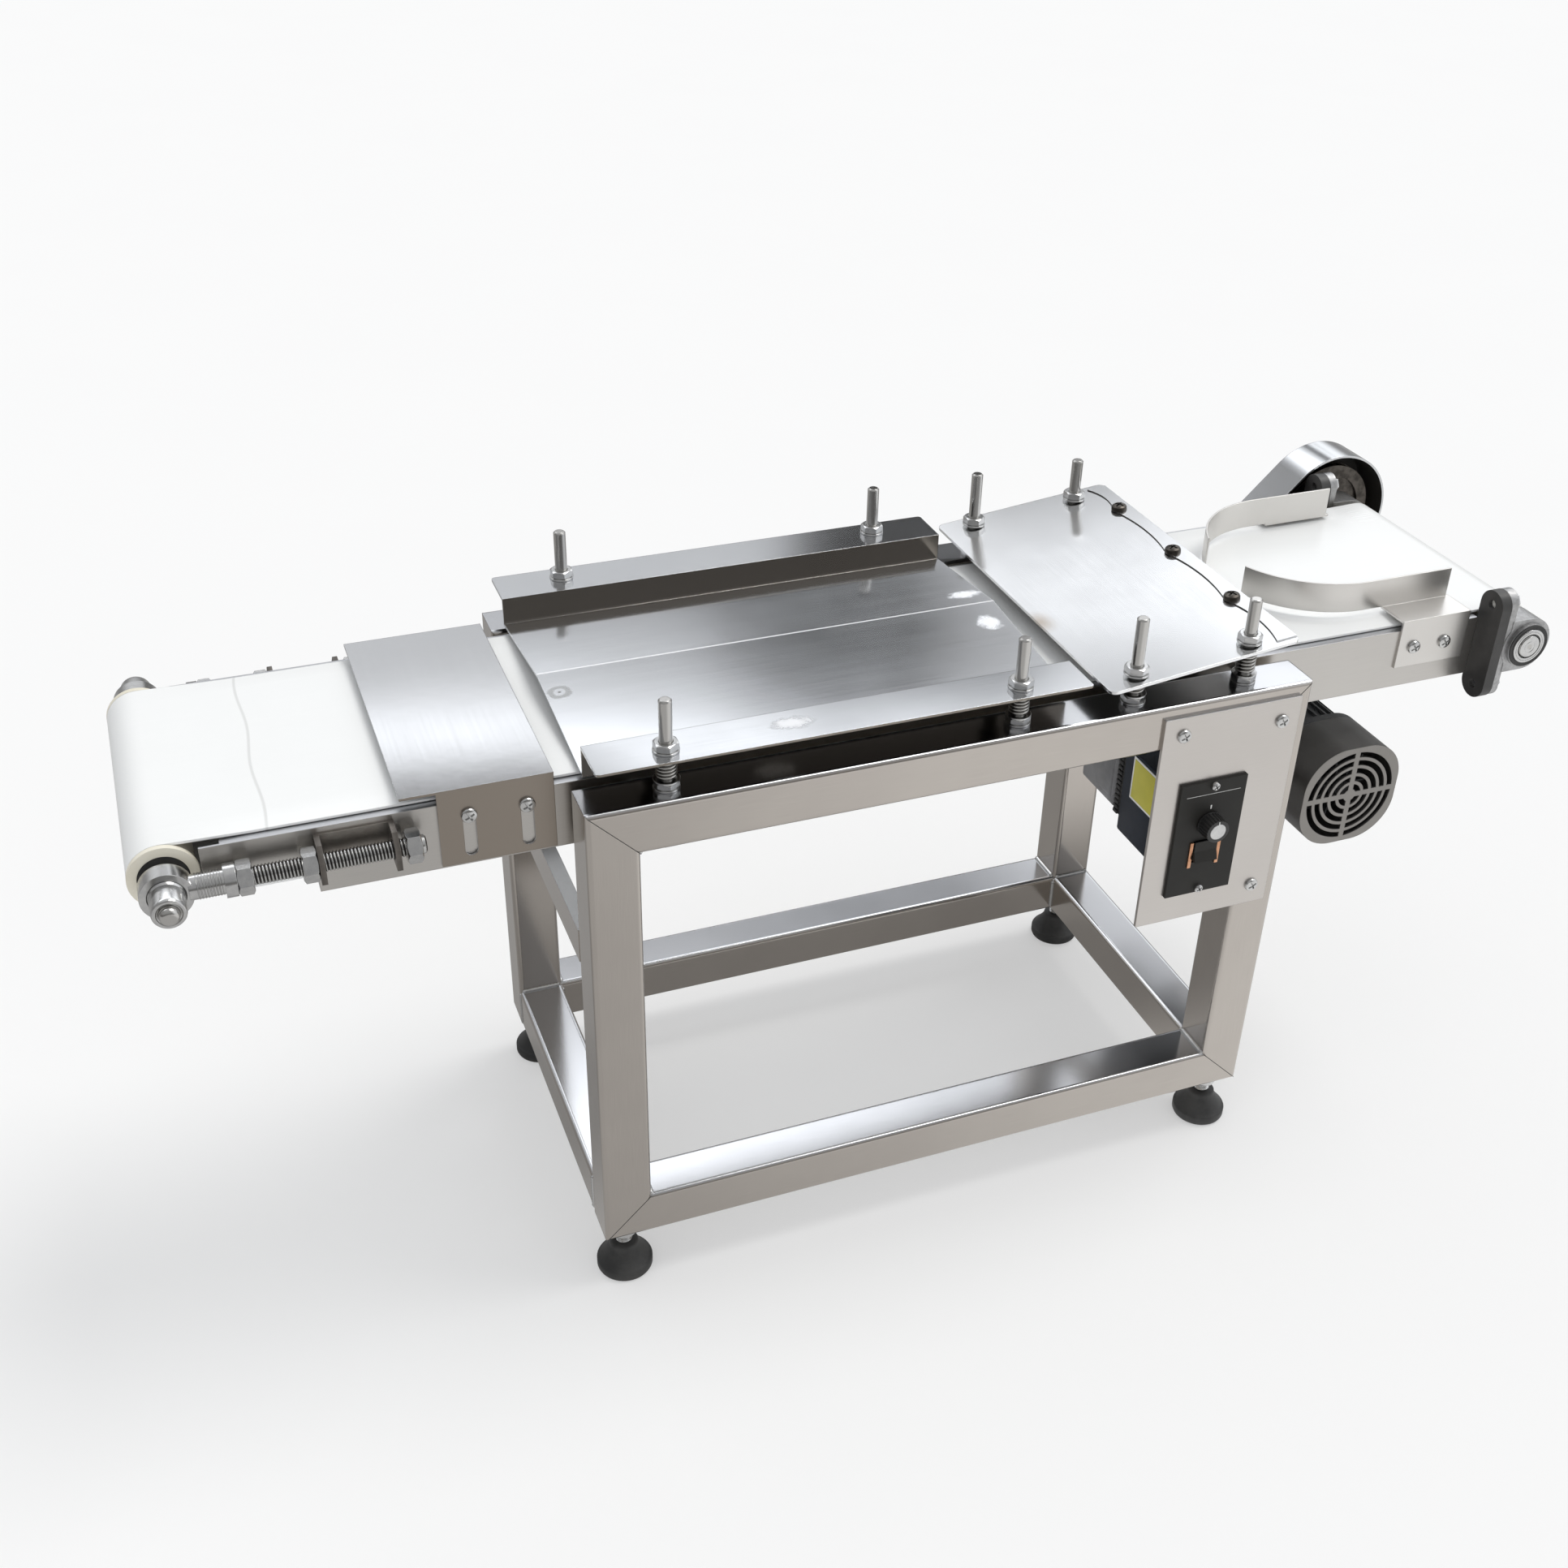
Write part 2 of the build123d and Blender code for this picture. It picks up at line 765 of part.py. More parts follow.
# Drive end
def drive_roller():
    end_disc = 10
    tube_bore = roller_radius - 4
    length = roller_half_length
    ring = Circle(roller_radius) - Circle(shaft_radius + fit)
    drum = slab_xz(Pos(drive_x, axis_z) * ring, -length, length)
    hollow = Circle(tube_bore) - Circle(shaft_radius + fit)
    return drum - slab_xz(Pos(drive_x, axis_z) * hollow, end_disc - length, length - end_disc)


def drive_shaft():
    shaft = round_y(shaft_radius, shaft_front, shaft_rear, drive_x, axis_z)
    return chamfer(shaft.edges().filter_by(GeomType.CIRCLE), 1)


def backing_bar():
    stadium = SlotOverall(backing_length, backing_width, rotation=90)
    bar = slab_yz(Pos(-backing_y, axis_z) * stadium, backing_left, block_left)
    tongue_end = -bed_half_width + bed_end_lip
    half = bed_end_lip_half_height - 3 * sheet
    bar += block(backing_left, block_left, -backing_y, tongue_end, axis_z - half, axis_z + half)
    for z in (axis_z - block_bolt_reach, axis_z + block_bolt_reach):
        bar -= round_x(bolt_radius + fit, backing_left, block_left, -backing_y, z)
    return bar - round_x(bolt_radius + fit, backing_left, block_left, -tongue_bolt_y(), axis_z)


def pillow_block():
    stadium = SlotOverall(backing_length, backing_width - 4, rotation=90)
    base_right = block_left + block_base
    part = slab_yz(Pos(-backing_y, axis_z) * stadium, block_left, base_right)
    y0, y1 = -backing_y - housing_half_width, -backing_y + housing_half_width
    part += round_y(housing_radius, y0, y1, drive_x, axis_z)
    part += block(base_right - 1, drive_x, y0, y1, axis_z - housing_radius, axis_z + housing_radius)
    part -= round_y(insert_radius + fit, y0, y1, drive_x, axis_z)
    for z in (axis_z - block_bolt_reach, axis_z + block_bolt_reach):
        part -= round_x(bolt_radius + running, block_left, base_right, -backing_y, z)
    notch = bolt_radius + running
    notch_bottom, notch_top = axis_z - backing_length / 2, axis_z - block_bolt_reach
    part -= block(block_left, base_right, -backing_y - notch, notch - backing_y, notch_bottom, notch_top)
    ring = Circle(insert_radius) - Circle(shaft_radius + fit)
    y0, y1 = -backing_y - insert_half_width, -backing_y + insert_half_width
    insert = slab_xz(Pos(drive_x, axis_z) * ring, y0, y1)
    return [part, insert]


def drive_nodes():
    housing, insert = pillow_block()
    return {
        "drive_roller": [drive_roller()],
        "drive_shaft": [drive_shaft()],
        "pillow_blocks": both_sides(housing) + both_sides(insert),
        "bearing_backings": both_sides(backing_bar()),
    }


# Infeed guides
def infeed_guide():
    # Folded flange and shelf on the bed, with a strip that bends in to the mouth of the plate.
    arc_angle = degrees(pi - atan2(guide_mouth_half, sqrt(guide_half_gap**2 - guide_mouth_half**2)))
    centre = Pos(guide_bend_x, 0)
    half = guide_sheet / 2
    ring = Circle(guide_half_gap + half) - Circle(guide_half_gap - half)
    reach = 2 * guide_half_gap
    wedge = outline(
        (0, 0), (0, -reach), (reach * cos(radians(arc_angle)), -reach),
        (reach * cos(radians(arc_angle)), -reach * sin(radians(arc_angle))),
    )
    bend = centre * (ring & wedge)
    run = outline(
        (guide_bend_x, -guide_half_gap - half), (guide_right, -guide_half_gap - half),
        (guide_right, -guide_half_gap + half), (guide_bend_x, -guide_half_gap + half),
    )
    strip = Pos(0, 0, guide_bottom) * extrude(bend + run, guide_top - guide_bottom)
    outer = -bed_half_width - sheet
    shelf = block(guide_flange_left, guide_flange_right, outer, -guide_half_gap + half,
                  guide_bottom - sheet, guide_bottom)
    flange = block(guide_flange_left, guide_flange_right, outer, -bed_half_width,
                   guide_flange_bottom, guide_bottom)
    for x in guide_screw_x:
        flange -= round_y(screw_radius + running, outer, -bed_half_width, x, guide_screw_z)
    return strip + shelf + flange


# Moulding tray, pressure plate and their studs
def studs():
    parts = []
    for x in stud_x:
        low = stand_top - tube
        shank = round_z(stud_radius, low, stud_top, x, -stud_y)
        shank = chamfer(shank.edges().sort_by(Axis.Z)[-1], 1.2)
        head = Pos(x, -stud_y, low - stud_head) * extrude(hexagon(nut_m10_flats), stud_head)
        parts += both_sides(shank + head)
    return parts


def washer(z, x):
    ring = Circle(washer_radius) - Circle(stud_radius + thread_gap)
    return Pos(x, -stud_y, z) * extrude(ring, washer_thickness)


def stud_nut(z, height, x):
    return nut_z(nut_m10_flats, stud_radius + thread_gap, z, z + height, x, -stud_y)


def seat_nuts():
    parts = []
    for x in stud_x:
        nut_low = stand_top + washer_thickness
        for part in (
            washer(stand_top, x),
            stud_nut(nut_low, seat_nut_height, x),
            washer(nut_low + seat_nut_height, x),
        ):
            parts += both_sides(part)
    return parts


def height_nuts(xs, seat):
    parts = []
    for x in xs:
        low = seat(x)
        parts += both_sides(washer(low, x))
        parts += both_sides(stud_nut(low + washer_thickness, nut_m10_height, x))
    return parts


def press_top(x):
    return press_left_top + (x - press_left) * press_slope


def press_under(x):
    return press_top(x) - press_thickness / cos(radians(press_tilt))


def moulding_tray():
    # Flange, wall, sloping floor up to the ridge and down again, wall, flange: one folded sheet.
    upper = [
        (-tray_half_width, tray_flange_top), (-tray_wall_y, tray_flange_top), (-tray_wall_y, tray_floor),
        (tray_ridge_y, tray_ridge), (tray_wall_y, tray_floor), (tray_wall_y, tray_flange_top),
        (tray_half_width, tray_flange_top),
    ]
    wall_y = tray_wall_y + sheet
    lower = [
        (tray_half_width, tray_flange_top - sheet), (wall_y, tray_flange_top - sheet),
        (wall_y, tray_floor - sheet), (tray_ridge_y, tray_ridge - sheet), (-wall_y, tray_floor - sheet),
        (-wall_y, tray_flange_top - sheet), (-tray_half_width, tray_flange_top - sheet),
    ]
    part = slab_yz(outline(*upper, *lower), tray_left, tray_right)
    corners = [
        edge for edge in part.edges().filter_by(Axis.Z)
        if abs(abs(edge.center().Y) - tray_half_width) < running
    ]
    part = fillet(corners, tray_corner)
    for x in tray_studs:
        for y in (-stud_y, stud_y):
            part -= round_z(stud_hole_radius, tray_flange_top - sheet, tray_flange_top, x, y)
    return part


def press_frame():
    # Plane of the plate's upper face, at its left edge, sloping up to the right.
    return Pos(press_left, 0, press_left_top) * Rot(0, -press_tilt, 0)


def press_length():
    return hypot(press_right - press_left, press_right_top - press_left_top)


def pressure_plate():
    length = press_length()
    sheet_face = Pos(length / 2, 0) * RectangleRounded(length, 2 * press_half_width, press_corner)
    plate = press_frame() * Pos(0, 0, -press_thickness) * extrude(sheet_face, press_thickness)
    for x in plate_studs:
        for y in (-stud_y, stud_y):
            low = press_under(x) - press_thickness
            plate -= round_z(stud_hole_radius, low, low + 4 * press_thickness, x, y)
    bolt_x = press_length() - strip_bolt_inset
    for y in strip_bolt_y:
        plate -= press_frame() * Pos(bolt_x, y, -press_thickness) * Cylinder(
            screw_radius + fit, 3 * press_thickness
        )
    return plate


def wear_strip():
    # Strip along the raised edge; its inner edge waves between the three bolts.
    length = press_length()
    half = press_half_width - press_corner
    stops = [-half, *strip_bolt_y, half]
    inner = length - strip_width
    edges = []
    for y0, y1 in zip(stops, stops[1:]):
        edges.append(ThreePointArc((inner, y0), (inner + strip_wave, (y0 + y1) / 2), (inner, y1)))
    edges.append(Polyline((inner, half), (length, half), (length, -half), (inner, -half)))
    strip = extrude(make_face(edges), strip_thickness)
    bolt_x = length - strip_bolt_inset
    bolts = []
    for y in strip_bolt_y:
        strip -= Pos(bolt_x, y, 0) * Cylinder(screw_radius + fit, 4 * strip_thickness)
        head = Pos(bolt_x, y, strip_thickness) * extrude(Circle(pan_head_radius), pan_head_height)
        head = fillet(head.faces().sort_by(Axis.Z)[-1].edges(), pan_head_height * 0.6)
        shank_length = strip_thickness + press_thickness
        bolts.append(head + Pos(bolt_x, y, strip_thickness) * extrude(Circle(screw_radius), -shank_length))
    return [press_frame() * part for part in [strip, *bolts]]


def spring_nodes(low, high, turns):
    # Quarter-turn stations along the wire's centre: flat half turn at each end, even rise between.
    quarters = 4 * turns
    rise = (high - low - wire) / (quarters - 4)
    stations = []
    for i in range(quarters + 1):
        angle = pi / 2 + i * pi / 2
        active = min(max(i - 2, 0), quarters - 4)
        climbing = 0 if i <= 2 or i >= quarters - 2 else rise
        tangent = Vector(-sin(angle), cos(angle), climbing / (spring_radius * pi / 2)).normalized()
        height = low + wire / 2 + active * rise
        point = Vector(spring_radius * cos(angle), spring_radius * sin(angle), height)
        stations.append((point, tangent))
    return stations


def biarc(start, start_way, end, end_way):
    # Two arcs from start to end that leave and arrive along the given directions.
    gap = end - start
    ways = start_way + end_way
    a = 2 * (1 - start_way.dot(end_way))
    b = 2 * gap.dot(ways)
    c = -gap.dot(gap)
    reach = -c / b if abs(a) < 1e-9 else (-b + sqrt(b * b - 4 * a * c)) / (2 * a)
    joint = ((start + start_way * reach) + (end - end_way * reach)) * 0.5
    first = Edge.make_tangent_arc(start, start_way, joint)
    return [first, Edge.make_tangent_arc(joint, first.tangent_at(1), end)]


def spring(x, low, high, turns):
    stations = spring_nodes(low, high, turns)
    first, first_way = stations[0]
    last, last_way = stations[-1]
    edges = [Edge.make_line(first - first_way * wire, first)]
    for (p0, t0), (p1, t1) in zip(stations, stations[1:]):
        edges += biarc(p0, t0, p1, t1)
    edges.append(Edge.make_line(last, last + last_way * wire))
    path = Wire(edges)
    section = Plane(path.position_at(0), z_dir=path.tangent_at(0)) * Circle(wire / 2)
    coil = sweep(section, path=path)
    steps = 40 * turns
    points = [path.position_at(i / steps) for i in range(steps + 1)]
    skip = round(steps / turns / 2)
    least = min(
        (points[i] - points[j]).length for i in range(steps + 1) for j in range(i + skip, steps + 1)
    )
    print("spring at", x, "least gap to itself", round(least - wire, 2), "volume ratio",
          round(coil.volume / (path.length * pi * wire**2 / 4), 4))
    return Pos(x, -stud_y, 0) * coil


def moulding_nodes():
    tray_under = tray_flange_top - sheet
    tray_springs = []
    for x in tray_studs:
        tray_springs += both_sides(spring(x, seat_top, tray_under, tray_spring_turns))
    press_springs = []
    lean = (spring_radius + wire) * press_slope
    for x, turns in zip(plate_studs, (low_spring_turns, high_spring_turns)):
        press_springs += both_sides(spring(x, seat_top, press_under(x) - lean, turns))
    return {
        "studs": studs(),
        "seat_nuts": seat_nuts(),
        "moulding_tray": [moulding_tray()],
        "tray_nuts": height_nuts(tray_studs, lambda x: tray_flange_top),
        "tray_springs": tray_springs,
        "pressure_plate": [pressure_plate()],
        "plate_nuts": height_nuts(plate_studs, lambda x: press_top(x + washer_radius)),
        "plate_springs": press_springs,
        "wear_strip": wear_strip(),
    }


# Chain drive
def sprocket(teeth, hub_radius, bore):
    radius = pitch / (2 * sin(pi / teeth))
    tip = pitch * (0.6 + 1 / tan(pi / teeth)) / 2
    seat = Pos(radius, 0) * Circle(chain_roller_radius + running)
    flare = outline(
        (radius, -chain_roller_radius), (tip + 2, -chain_roller_radius - 1.2),
        (tip + 2, chain_roller_radius + 1.2), (radius, chain_roller_radius),
    )
    blank = Circle(tip) - PolarLocations(0, teeth) * (seat + flare)
    wheel = slab_xz(blank, chain_y - tooth_width / 2, chain_y + tooth_width / 2)
    wheel += round_y(hub_radius, hub_front, hub_rear, 0, 0)
    return wheel - round_y(bore + fit, hub_front, hub_rear, 0, 0)


def loop_face(drive_radius, motor_radius_here):
    # Area inside a band drawn tight round both sprocket centres.
    rings = (Pos(drive_x, axis_z) * Circle(drive_radius)).edges()
    rings += (Pos(motor_x, motor_z) * Circle(motor_radius_here)).edges()
    return make_hull(rings)


def chain():
    # Two rows of link plates with a pin at every pitch of both straight runs, clear of the teeth.
    half = link_half_height
    band = loop_face(roller_pitch_radius + half, motor_pitch_radius + half)
    band -= loop_face(roller_pitch_radius - half, motor_pitch_radius - half)
    inner = tooth_width / 2 + running
    part = slab_xz(band, chain_y - inner - link_thickness, chain_y - inner)
    part += slab_xz(band, chain_y + inner, chain_y + inner + link_thickness)
    slant = asin((roller_pitch_radius - motor_pitch_radius) / centre_distance)
    run = sqrt(centre_distance**2 - (roller_pitch_radius - motor_pitch_radius) ** 2)
    clear_roller = 3 * pitch
    count = int((run - 2 * clear_roller) / pitch) + 1
    for side in (1, -1):
        way = pi + radians(drive_angle) - side * slant
        out = way + side * pi / 2
        x0 = drive_x + roller_pitch_radius * cos(out)
        z0 = axis_z + roller_pitch_radius * sin(out)
        for i in range(count):
            along = clear_roller + i * pitch
            x, z = x0 + along * cos(way), z0 + along * sin(way)
            part += round_y(chain_roller_radius, chain_y - inner, chain_y + inner, x, z)
    return part


def chain_guard():
    outer = loop_face(guard_radius, guard_motor_radius)
    inner = loop_face(guard_radius - sheet, guard_motor_radius - sheet)
    back = guard_rear - sheet
    part = slab_xz(outer - inner, guard_front, guard_rear) + slab_xz(outer, back, guard_rear)
    for along in guard_post_along:
        x = motor_x + along * cos(radians(drive_angle))
        z = motor_z + along * sin(radians(drive_angle))
        plate_face = bed_half_width + motor_plate_thickness
        part += round_y(guard_post_radius, plate_face, back, x, z)
    return part


def motor_plate():
    shape = outline(
        (plate_left, plate_low), (plate_right, plate_low), (plate_right, plate_step),
        (plate_tab_right, plate_step), (plate_tab_right, plate_top), (plate_left, plate_top),
    )
    rear = bed_half_width + motor_plate_thickness
    part = slab_xz(shape, bed_half_width, rear)
    part -= round_y(motor_hub_radius + 6, bed_half_width, rear, motor_x, motor_z)
    for x, z in [*gearbox_bolts(), *[(x, plate_bolt_z) for x in plate_bolt_x]]:
        part -= round_y(bolt_radius + running, bed_half_width, rear, x, z)
    return part


def gearbox_bolts():
    reach = gearbox_size / 2 - 9
    return [(motor_x + i * reach, motor_z + j * reach) for i in (-1, 1) for j in (-1, 1)]


# Gear motor
def rounded_square(size, corner):
    return Pos(motor_x, motor_z) * RectangleRounded(size, size, corner)


def fan_cowl():
    inner = motor_square - 2 * sheet
    shell = slab_xz(rounded_square(motor_square, motor_corner), cowl_front, body_front)
    shell -= slab_xz(rounded_square(inner, motor_corner - sheet), cowl_front + sheet, body_front)
    vents = None
    for i in range(vent_rings):
        radius = vent_inner + i * vent_pitch
        ring = Circle(radius + vent_width) - Circle(radius)
        vents = ring if vents is None else vents + ring
    span = 2 * motor_square
    vents -= Rectangle(span, vent_bar) + Rectangle(vent_bar, span)
    return shell - slab_xz(Pos(motor_x, motor_z) * vents, cowl_front, cowl_front + sheet)


def motor_body():
    ring = Circle(motor_radius) - Circle(motor_bore)
    fin = Pos(motor_radius + fin_height / 2 - 0.5, 0) * Rectangle(fin_height + 1, fin_width)
    ribbed = ring + PolarLocations(0, fin_count) * fin
    part = slab_xz(Pos(motor_x, motor_z) * ribbed, body_front, gearbox_front)
    shield = rounded_square(motor_square, motor_corner)
    end = 8
    shield -= Pos(motor_x, motor_z) * Circle(rotor_shaft_radius + fit)
    part += slab_xz(shield, body_front, body_front + end)
    return part


def motor_rotor():
    core = motor_bore - clear
    shaft_front_end = cowl_front + 12
    shaft = round_y(rotor_shaft_radius, shaft_front_end, gearbox_front + 20, motor_x, motor_z)
    part = shaft + round_y(core, body_front + 16, gearbox_front - 8, motor_x, motor_z)
    disc_front, disc_rear = body_front - 14, body_front - 12
    fan = Circle(fan_radius) - Circle(rotor_shaft_radius + fit)
    fan = slab_xz(Pos(motor_x, motor_z) * fan, disc_front, disc_rear)
    blade = Pos(fan_radius / 2 + 5, 0) * Rectangle(fan_radius - 14, 2)
    blades = Pos(motor_x, motor_z) * (Sketch() + PolarLocations(0, fan_blades) * blade)
    fan += slab_xz(blades, disc_front - 18, disc_front)
    return [part, fan]


def gearbox():
    part = slab_xz(rounded_square(gearbox_size, 8), gearbox_front, bed_half_width)
    part -= round_y(rotor_shaft_radius + fit, gearbox_front, gearbox_front + 22, motor_x, motor_z)
    part -= round_y(output_radius + fit, bed_half_width - 30, bed_half_width, motor_x, motor_z)
    for x, z in gearbox_bolts():
        part -= round_y(bolt_radius + fit, bed_half_width - 16, bed_half_width, x, z)
    return part


def output_shaft():
    shaft = round_y(output_radius, bed_half_width - 28, shaft_rear, motor_x, motor_z)
    wheel = Pos(motor_x, 0, motor_z) * sprocket(motor_teeth, motor_hub_radius, output_radius)
    return [shaft, wheel]


def chain_drive_nodes():
    large = sprocket(roller_teeth, roller_hub_radius, shaft_radius)
    return {
        "roller_sprocket": [Pos(drive_x, 0, axis_z) * large],
        "roller_chain": [chain()],
        "chain_guard": [chain_guard()],
        "motor_plate": [motor_plate()],
        "fan_cowl": [fan_cowl()],
        "motor_body": [motor_body()],
        "motor_rotor": motor_rotor(),
        "gearbox": [gearbox()],
        "output_shaft": output_shaft(),
    }


# Control panel
def control_panel():
    part = block(panel_left, panel_right, panel_front, panel_front + panel_sheet, panel_bottom, panel_top)
    part -= block(control_left - running, control_right + running, panel_front, panel_front + panel_sheet,
                  control_bottom - running, control_top + running)
    for x, z in panel_screws:
        part -= round_y(screw_radius + running, panel_front, panel_front + panel_sheet, x, z)
    return part


def rocker_pocket(y0, y1):
    half_x = rocker_width / 2 + clear
    half_z = rocker_half_height + 2 * clear
    return block(rocker_x - half_x, rocker_x + half_x, y0, y1, rocker_z - half_z, rocker_z + half_z)


def controller_box():
    part = block(control_left, control_right, panel_front, control_rear, control_bottom, control_top)
    part -= rocker_pocket(panel_front, panel_front + rocker_pocket_depth)
    bore_end = panel_front + rocker_pocket_depth
    part -= round_y(spindle_radius + running, panel_front, bore_end, knob_x, knob_z)
    socket = block(socket_left, socket_right, control_rear, socket_rear, socket_bottom, socket_top)
    return [part, socket]


def face_screw_places():
    middle = (face_left + face_right) / 2
    return [(middle, face_bottom + face_screw_inset), (middle, face_top - face_screw_inset)]


def controller_face():
    part = block(face_left, face_right, face_front, panel_front, face_bottom, face_top)
    part -= rocker_pocket(face_front, panel_front)
    part -= round_y(spindle_radius + running, face_front, panel_front, knob_x, knob_z)
    small = screw_radius * small_head_radius / pan_head_radius
    screws = []
    for x, z in face_screw_places():
        part -= round_y(small + fit, face_front, panel_front, x, z)
        screws.append(pan_head(face_front, x, z, small_head_radius, face_thickness))
    return [part, *screws]


def speed_knob():
    rear = face_front - knob_gap
    part = round_y(knob_radius, rear - knob_length, rear, knob_x, knob_z)
    part = chamfer(part.faces().sort_by(Axis.Y)[0].edges(), 1.5)
    return part + round_y(spindle_radius, rear, panel_front + rocker_pocket_depth - clear, knob_x, knob_z)


def rocker_switch():
    # Paddle with a shallow V front, drawn level and then leaned to its off position.
    half, depth = rocker_half_height, rocker_depth
    rise = half * tan(radians(rocker_tilt))
    profile = outline(
        (-depth + rise, 0), (-depth, half), (0, half * 0.7),
        (depth * 0.6, 0), (0, -half * 0.7), (-depth, -half),
    )
    part = extrude(Plane.YZ * profile, rocker_width / 2, both=True)
    return Pos(rocker_x, panel_front, rocker_z) * Rot(-rocker_tilt, 0, 0) * part


def control_nodes():
    return {
        "control_panel": [control_panel()],
        "controller_box": controller_box(),
        "controller_face": controller_face(),
        "speed_knob": [speed_knob()],
        "rocker_switch": [rocker_switch()],
    }


# Shared fasteners
def pan_head_screws():
    screws = []
    for x in cover_screw_x:
        screws += both_sides(pan_head(-cover_outer_y - running, x, cover_screw_z))
    for x in guide_screw_x:
        screws += both_sides(pan_head(-bed_half_width - sheet, x, guide_screw_z))
    screws += [pan_head(panel_front, x, z) for x, z in panel_screws]
    return screws


def hex_bolts():
    bolts = []
    inside = -bed_half_width + sheet
    for x in spacer_x:
        bolts += both_sides(hex_bolt_y(inside, -rail_inner_y - 2 * tube_wall, x, spacer_z))
    seat = block_left + block_base
    for z in (axis_z - block_bolt_reach, axis_z + block_bolt_reach):
        bolts += both_sides(hex_bolt_x(seat, backing_left + sheet, -backing_y, z))
    tongue_bolt = round_x(bolt_radius, bed_right - sheet, block_left, -tongue_bolt_y(), axis_z)
    nut_face = Pos(bed_right - sheet - bolt_head, -tongue_bolt_y(), axis_z)
    tongue_bolt += nut_face * extrude(Plane.YZ * hexagon(bolt_flats), bolt_head)
    bolts += both_sides(tongue_bolt)
    plate_rear = bed_half_width + motor_plate_thickness
    for x, z in gearbox_bolts():
        bolts.append(hex_bolt_y(plate_rear, bed_half_width - 14, x, z))
    for x in plate_bolt_x:
        bolts.append(hex_bolt_y(plate_rear, bed_half_width - sheet - 6, x, plate_bolt_z))
    return bolts


def all_nodes():
    nodes = {}
    nodes |= stand_nodes()
    nodes |= foot_nodes()
    nodes["hex_nuts_m14"] = large_nuts()
    nodes |= bed_nodes()
    nodes |= idler_nodes()
    nodes["exit_cover"] = [exit_cover()]
    nodes |= drive_nodes()
    guide = infeed_guide()
    nodes["guide_front"] = [guide]
    nodes["guide_rear"] = [rear_of(guide)]
    nodes |= moulding_nodes()
    nodes |= chain_drive_nodes()
    nodes |= control_nodes()
    nodes["pan_head_screws"] = pan_head_screws()
    nodes["hex_bolts"] = hex_bolts()
    return nodes


os.makedirs("parts", exist_ok=True)
for name, parts in all_nodes().items():
    solids = [solid for part in parts for solid in part.solids()]
    placed = [origin * solid for solid in solids]
    shape = placed[0] if len(placed) == 1 else Compound(children=placed)
    export_step(shape, os.path.join("parts", name + ".step"))
    print(name, len(placed), round(sum(solid.volume for solid in placed)))
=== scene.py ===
# %% [markdown]
# # The looks of a baguette moulder
# The machine is a short conveyor on a low stainless stand. Dough goes in between two curved guides, is
# pressed under a tilted plate, rolled under a ridged tray, and leaves under a small cover. The packed
# model is loaded first. It fixes every size and place, so each cell below only finishes a surface or
# replaces a piece with a finer one in the same spot.

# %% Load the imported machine
from math import cos, pi, radians, sin, sqrt, tan

import bmesh
import bpy
from mathutils import Matrix, Vector


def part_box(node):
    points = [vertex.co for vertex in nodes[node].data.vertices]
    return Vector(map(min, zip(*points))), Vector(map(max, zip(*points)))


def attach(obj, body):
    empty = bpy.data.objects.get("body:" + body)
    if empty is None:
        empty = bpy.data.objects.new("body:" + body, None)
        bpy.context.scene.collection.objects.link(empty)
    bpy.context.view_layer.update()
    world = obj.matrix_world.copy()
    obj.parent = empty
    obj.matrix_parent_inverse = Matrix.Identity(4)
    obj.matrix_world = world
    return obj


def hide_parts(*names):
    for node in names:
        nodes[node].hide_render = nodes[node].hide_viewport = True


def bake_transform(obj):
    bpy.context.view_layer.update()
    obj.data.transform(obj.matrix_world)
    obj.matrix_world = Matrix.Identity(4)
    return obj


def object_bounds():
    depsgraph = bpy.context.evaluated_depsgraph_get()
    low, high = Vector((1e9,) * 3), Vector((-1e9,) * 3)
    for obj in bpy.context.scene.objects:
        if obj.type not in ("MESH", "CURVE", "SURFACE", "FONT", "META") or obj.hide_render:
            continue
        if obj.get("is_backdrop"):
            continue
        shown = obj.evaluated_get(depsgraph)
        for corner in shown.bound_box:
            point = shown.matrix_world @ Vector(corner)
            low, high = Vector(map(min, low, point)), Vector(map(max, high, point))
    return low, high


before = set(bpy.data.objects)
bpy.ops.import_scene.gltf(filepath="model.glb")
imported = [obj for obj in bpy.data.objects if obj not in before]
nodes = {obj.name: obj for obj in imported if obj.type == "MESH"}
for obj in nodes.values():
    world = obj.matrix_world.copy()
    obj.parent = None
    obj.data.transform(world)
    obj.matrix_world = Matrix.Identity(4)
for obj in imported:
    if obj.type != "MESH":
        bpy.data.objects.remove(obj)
scene = bpy.context.scene
add = scene.collection.objects.link
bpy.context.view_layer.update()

# %% [markdown]
# The drawing of the machine is in millimetres, from the stand's left face and the belt's centre line. One
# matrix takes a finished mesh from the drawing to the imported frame. Places that several pieces share are
# named here once: the roller axes, the tension rods, and the line along each rail on which legs, feet and
# studs stand.

# %% From drawing to frame
drawing_to_frame = Matrix.Translation((-0.2936, 0.0025, 0)) @ Matrix.Scale(0.001, 4)


def spot(x, y, z):
    return drawing_to_frame @ Vector((x, y, z))


sides = (-1, 1)
idler_x, drive_x, axis_z = -281, 833, 450.7
rod_y, rail_y, leg_x = 131, 145, (20, 580)
tray_stud_x, plate_stud_x = (66, 346), (446, 546)
face_x, face_y, knob_z = 517.5, -171, 356
strip_screw_x, strip_screw_y = 570.9, (-79.5, 13.5, 106.5)
print("belt centre is at", [round(v, 3) for v in spot(276, 0, 475)])

# %% [markdown]
# The photograph looks down on the front from the exit side. Its turn is known in degrees, so its three
# axes, with a small roll, are written straight into its matrix.

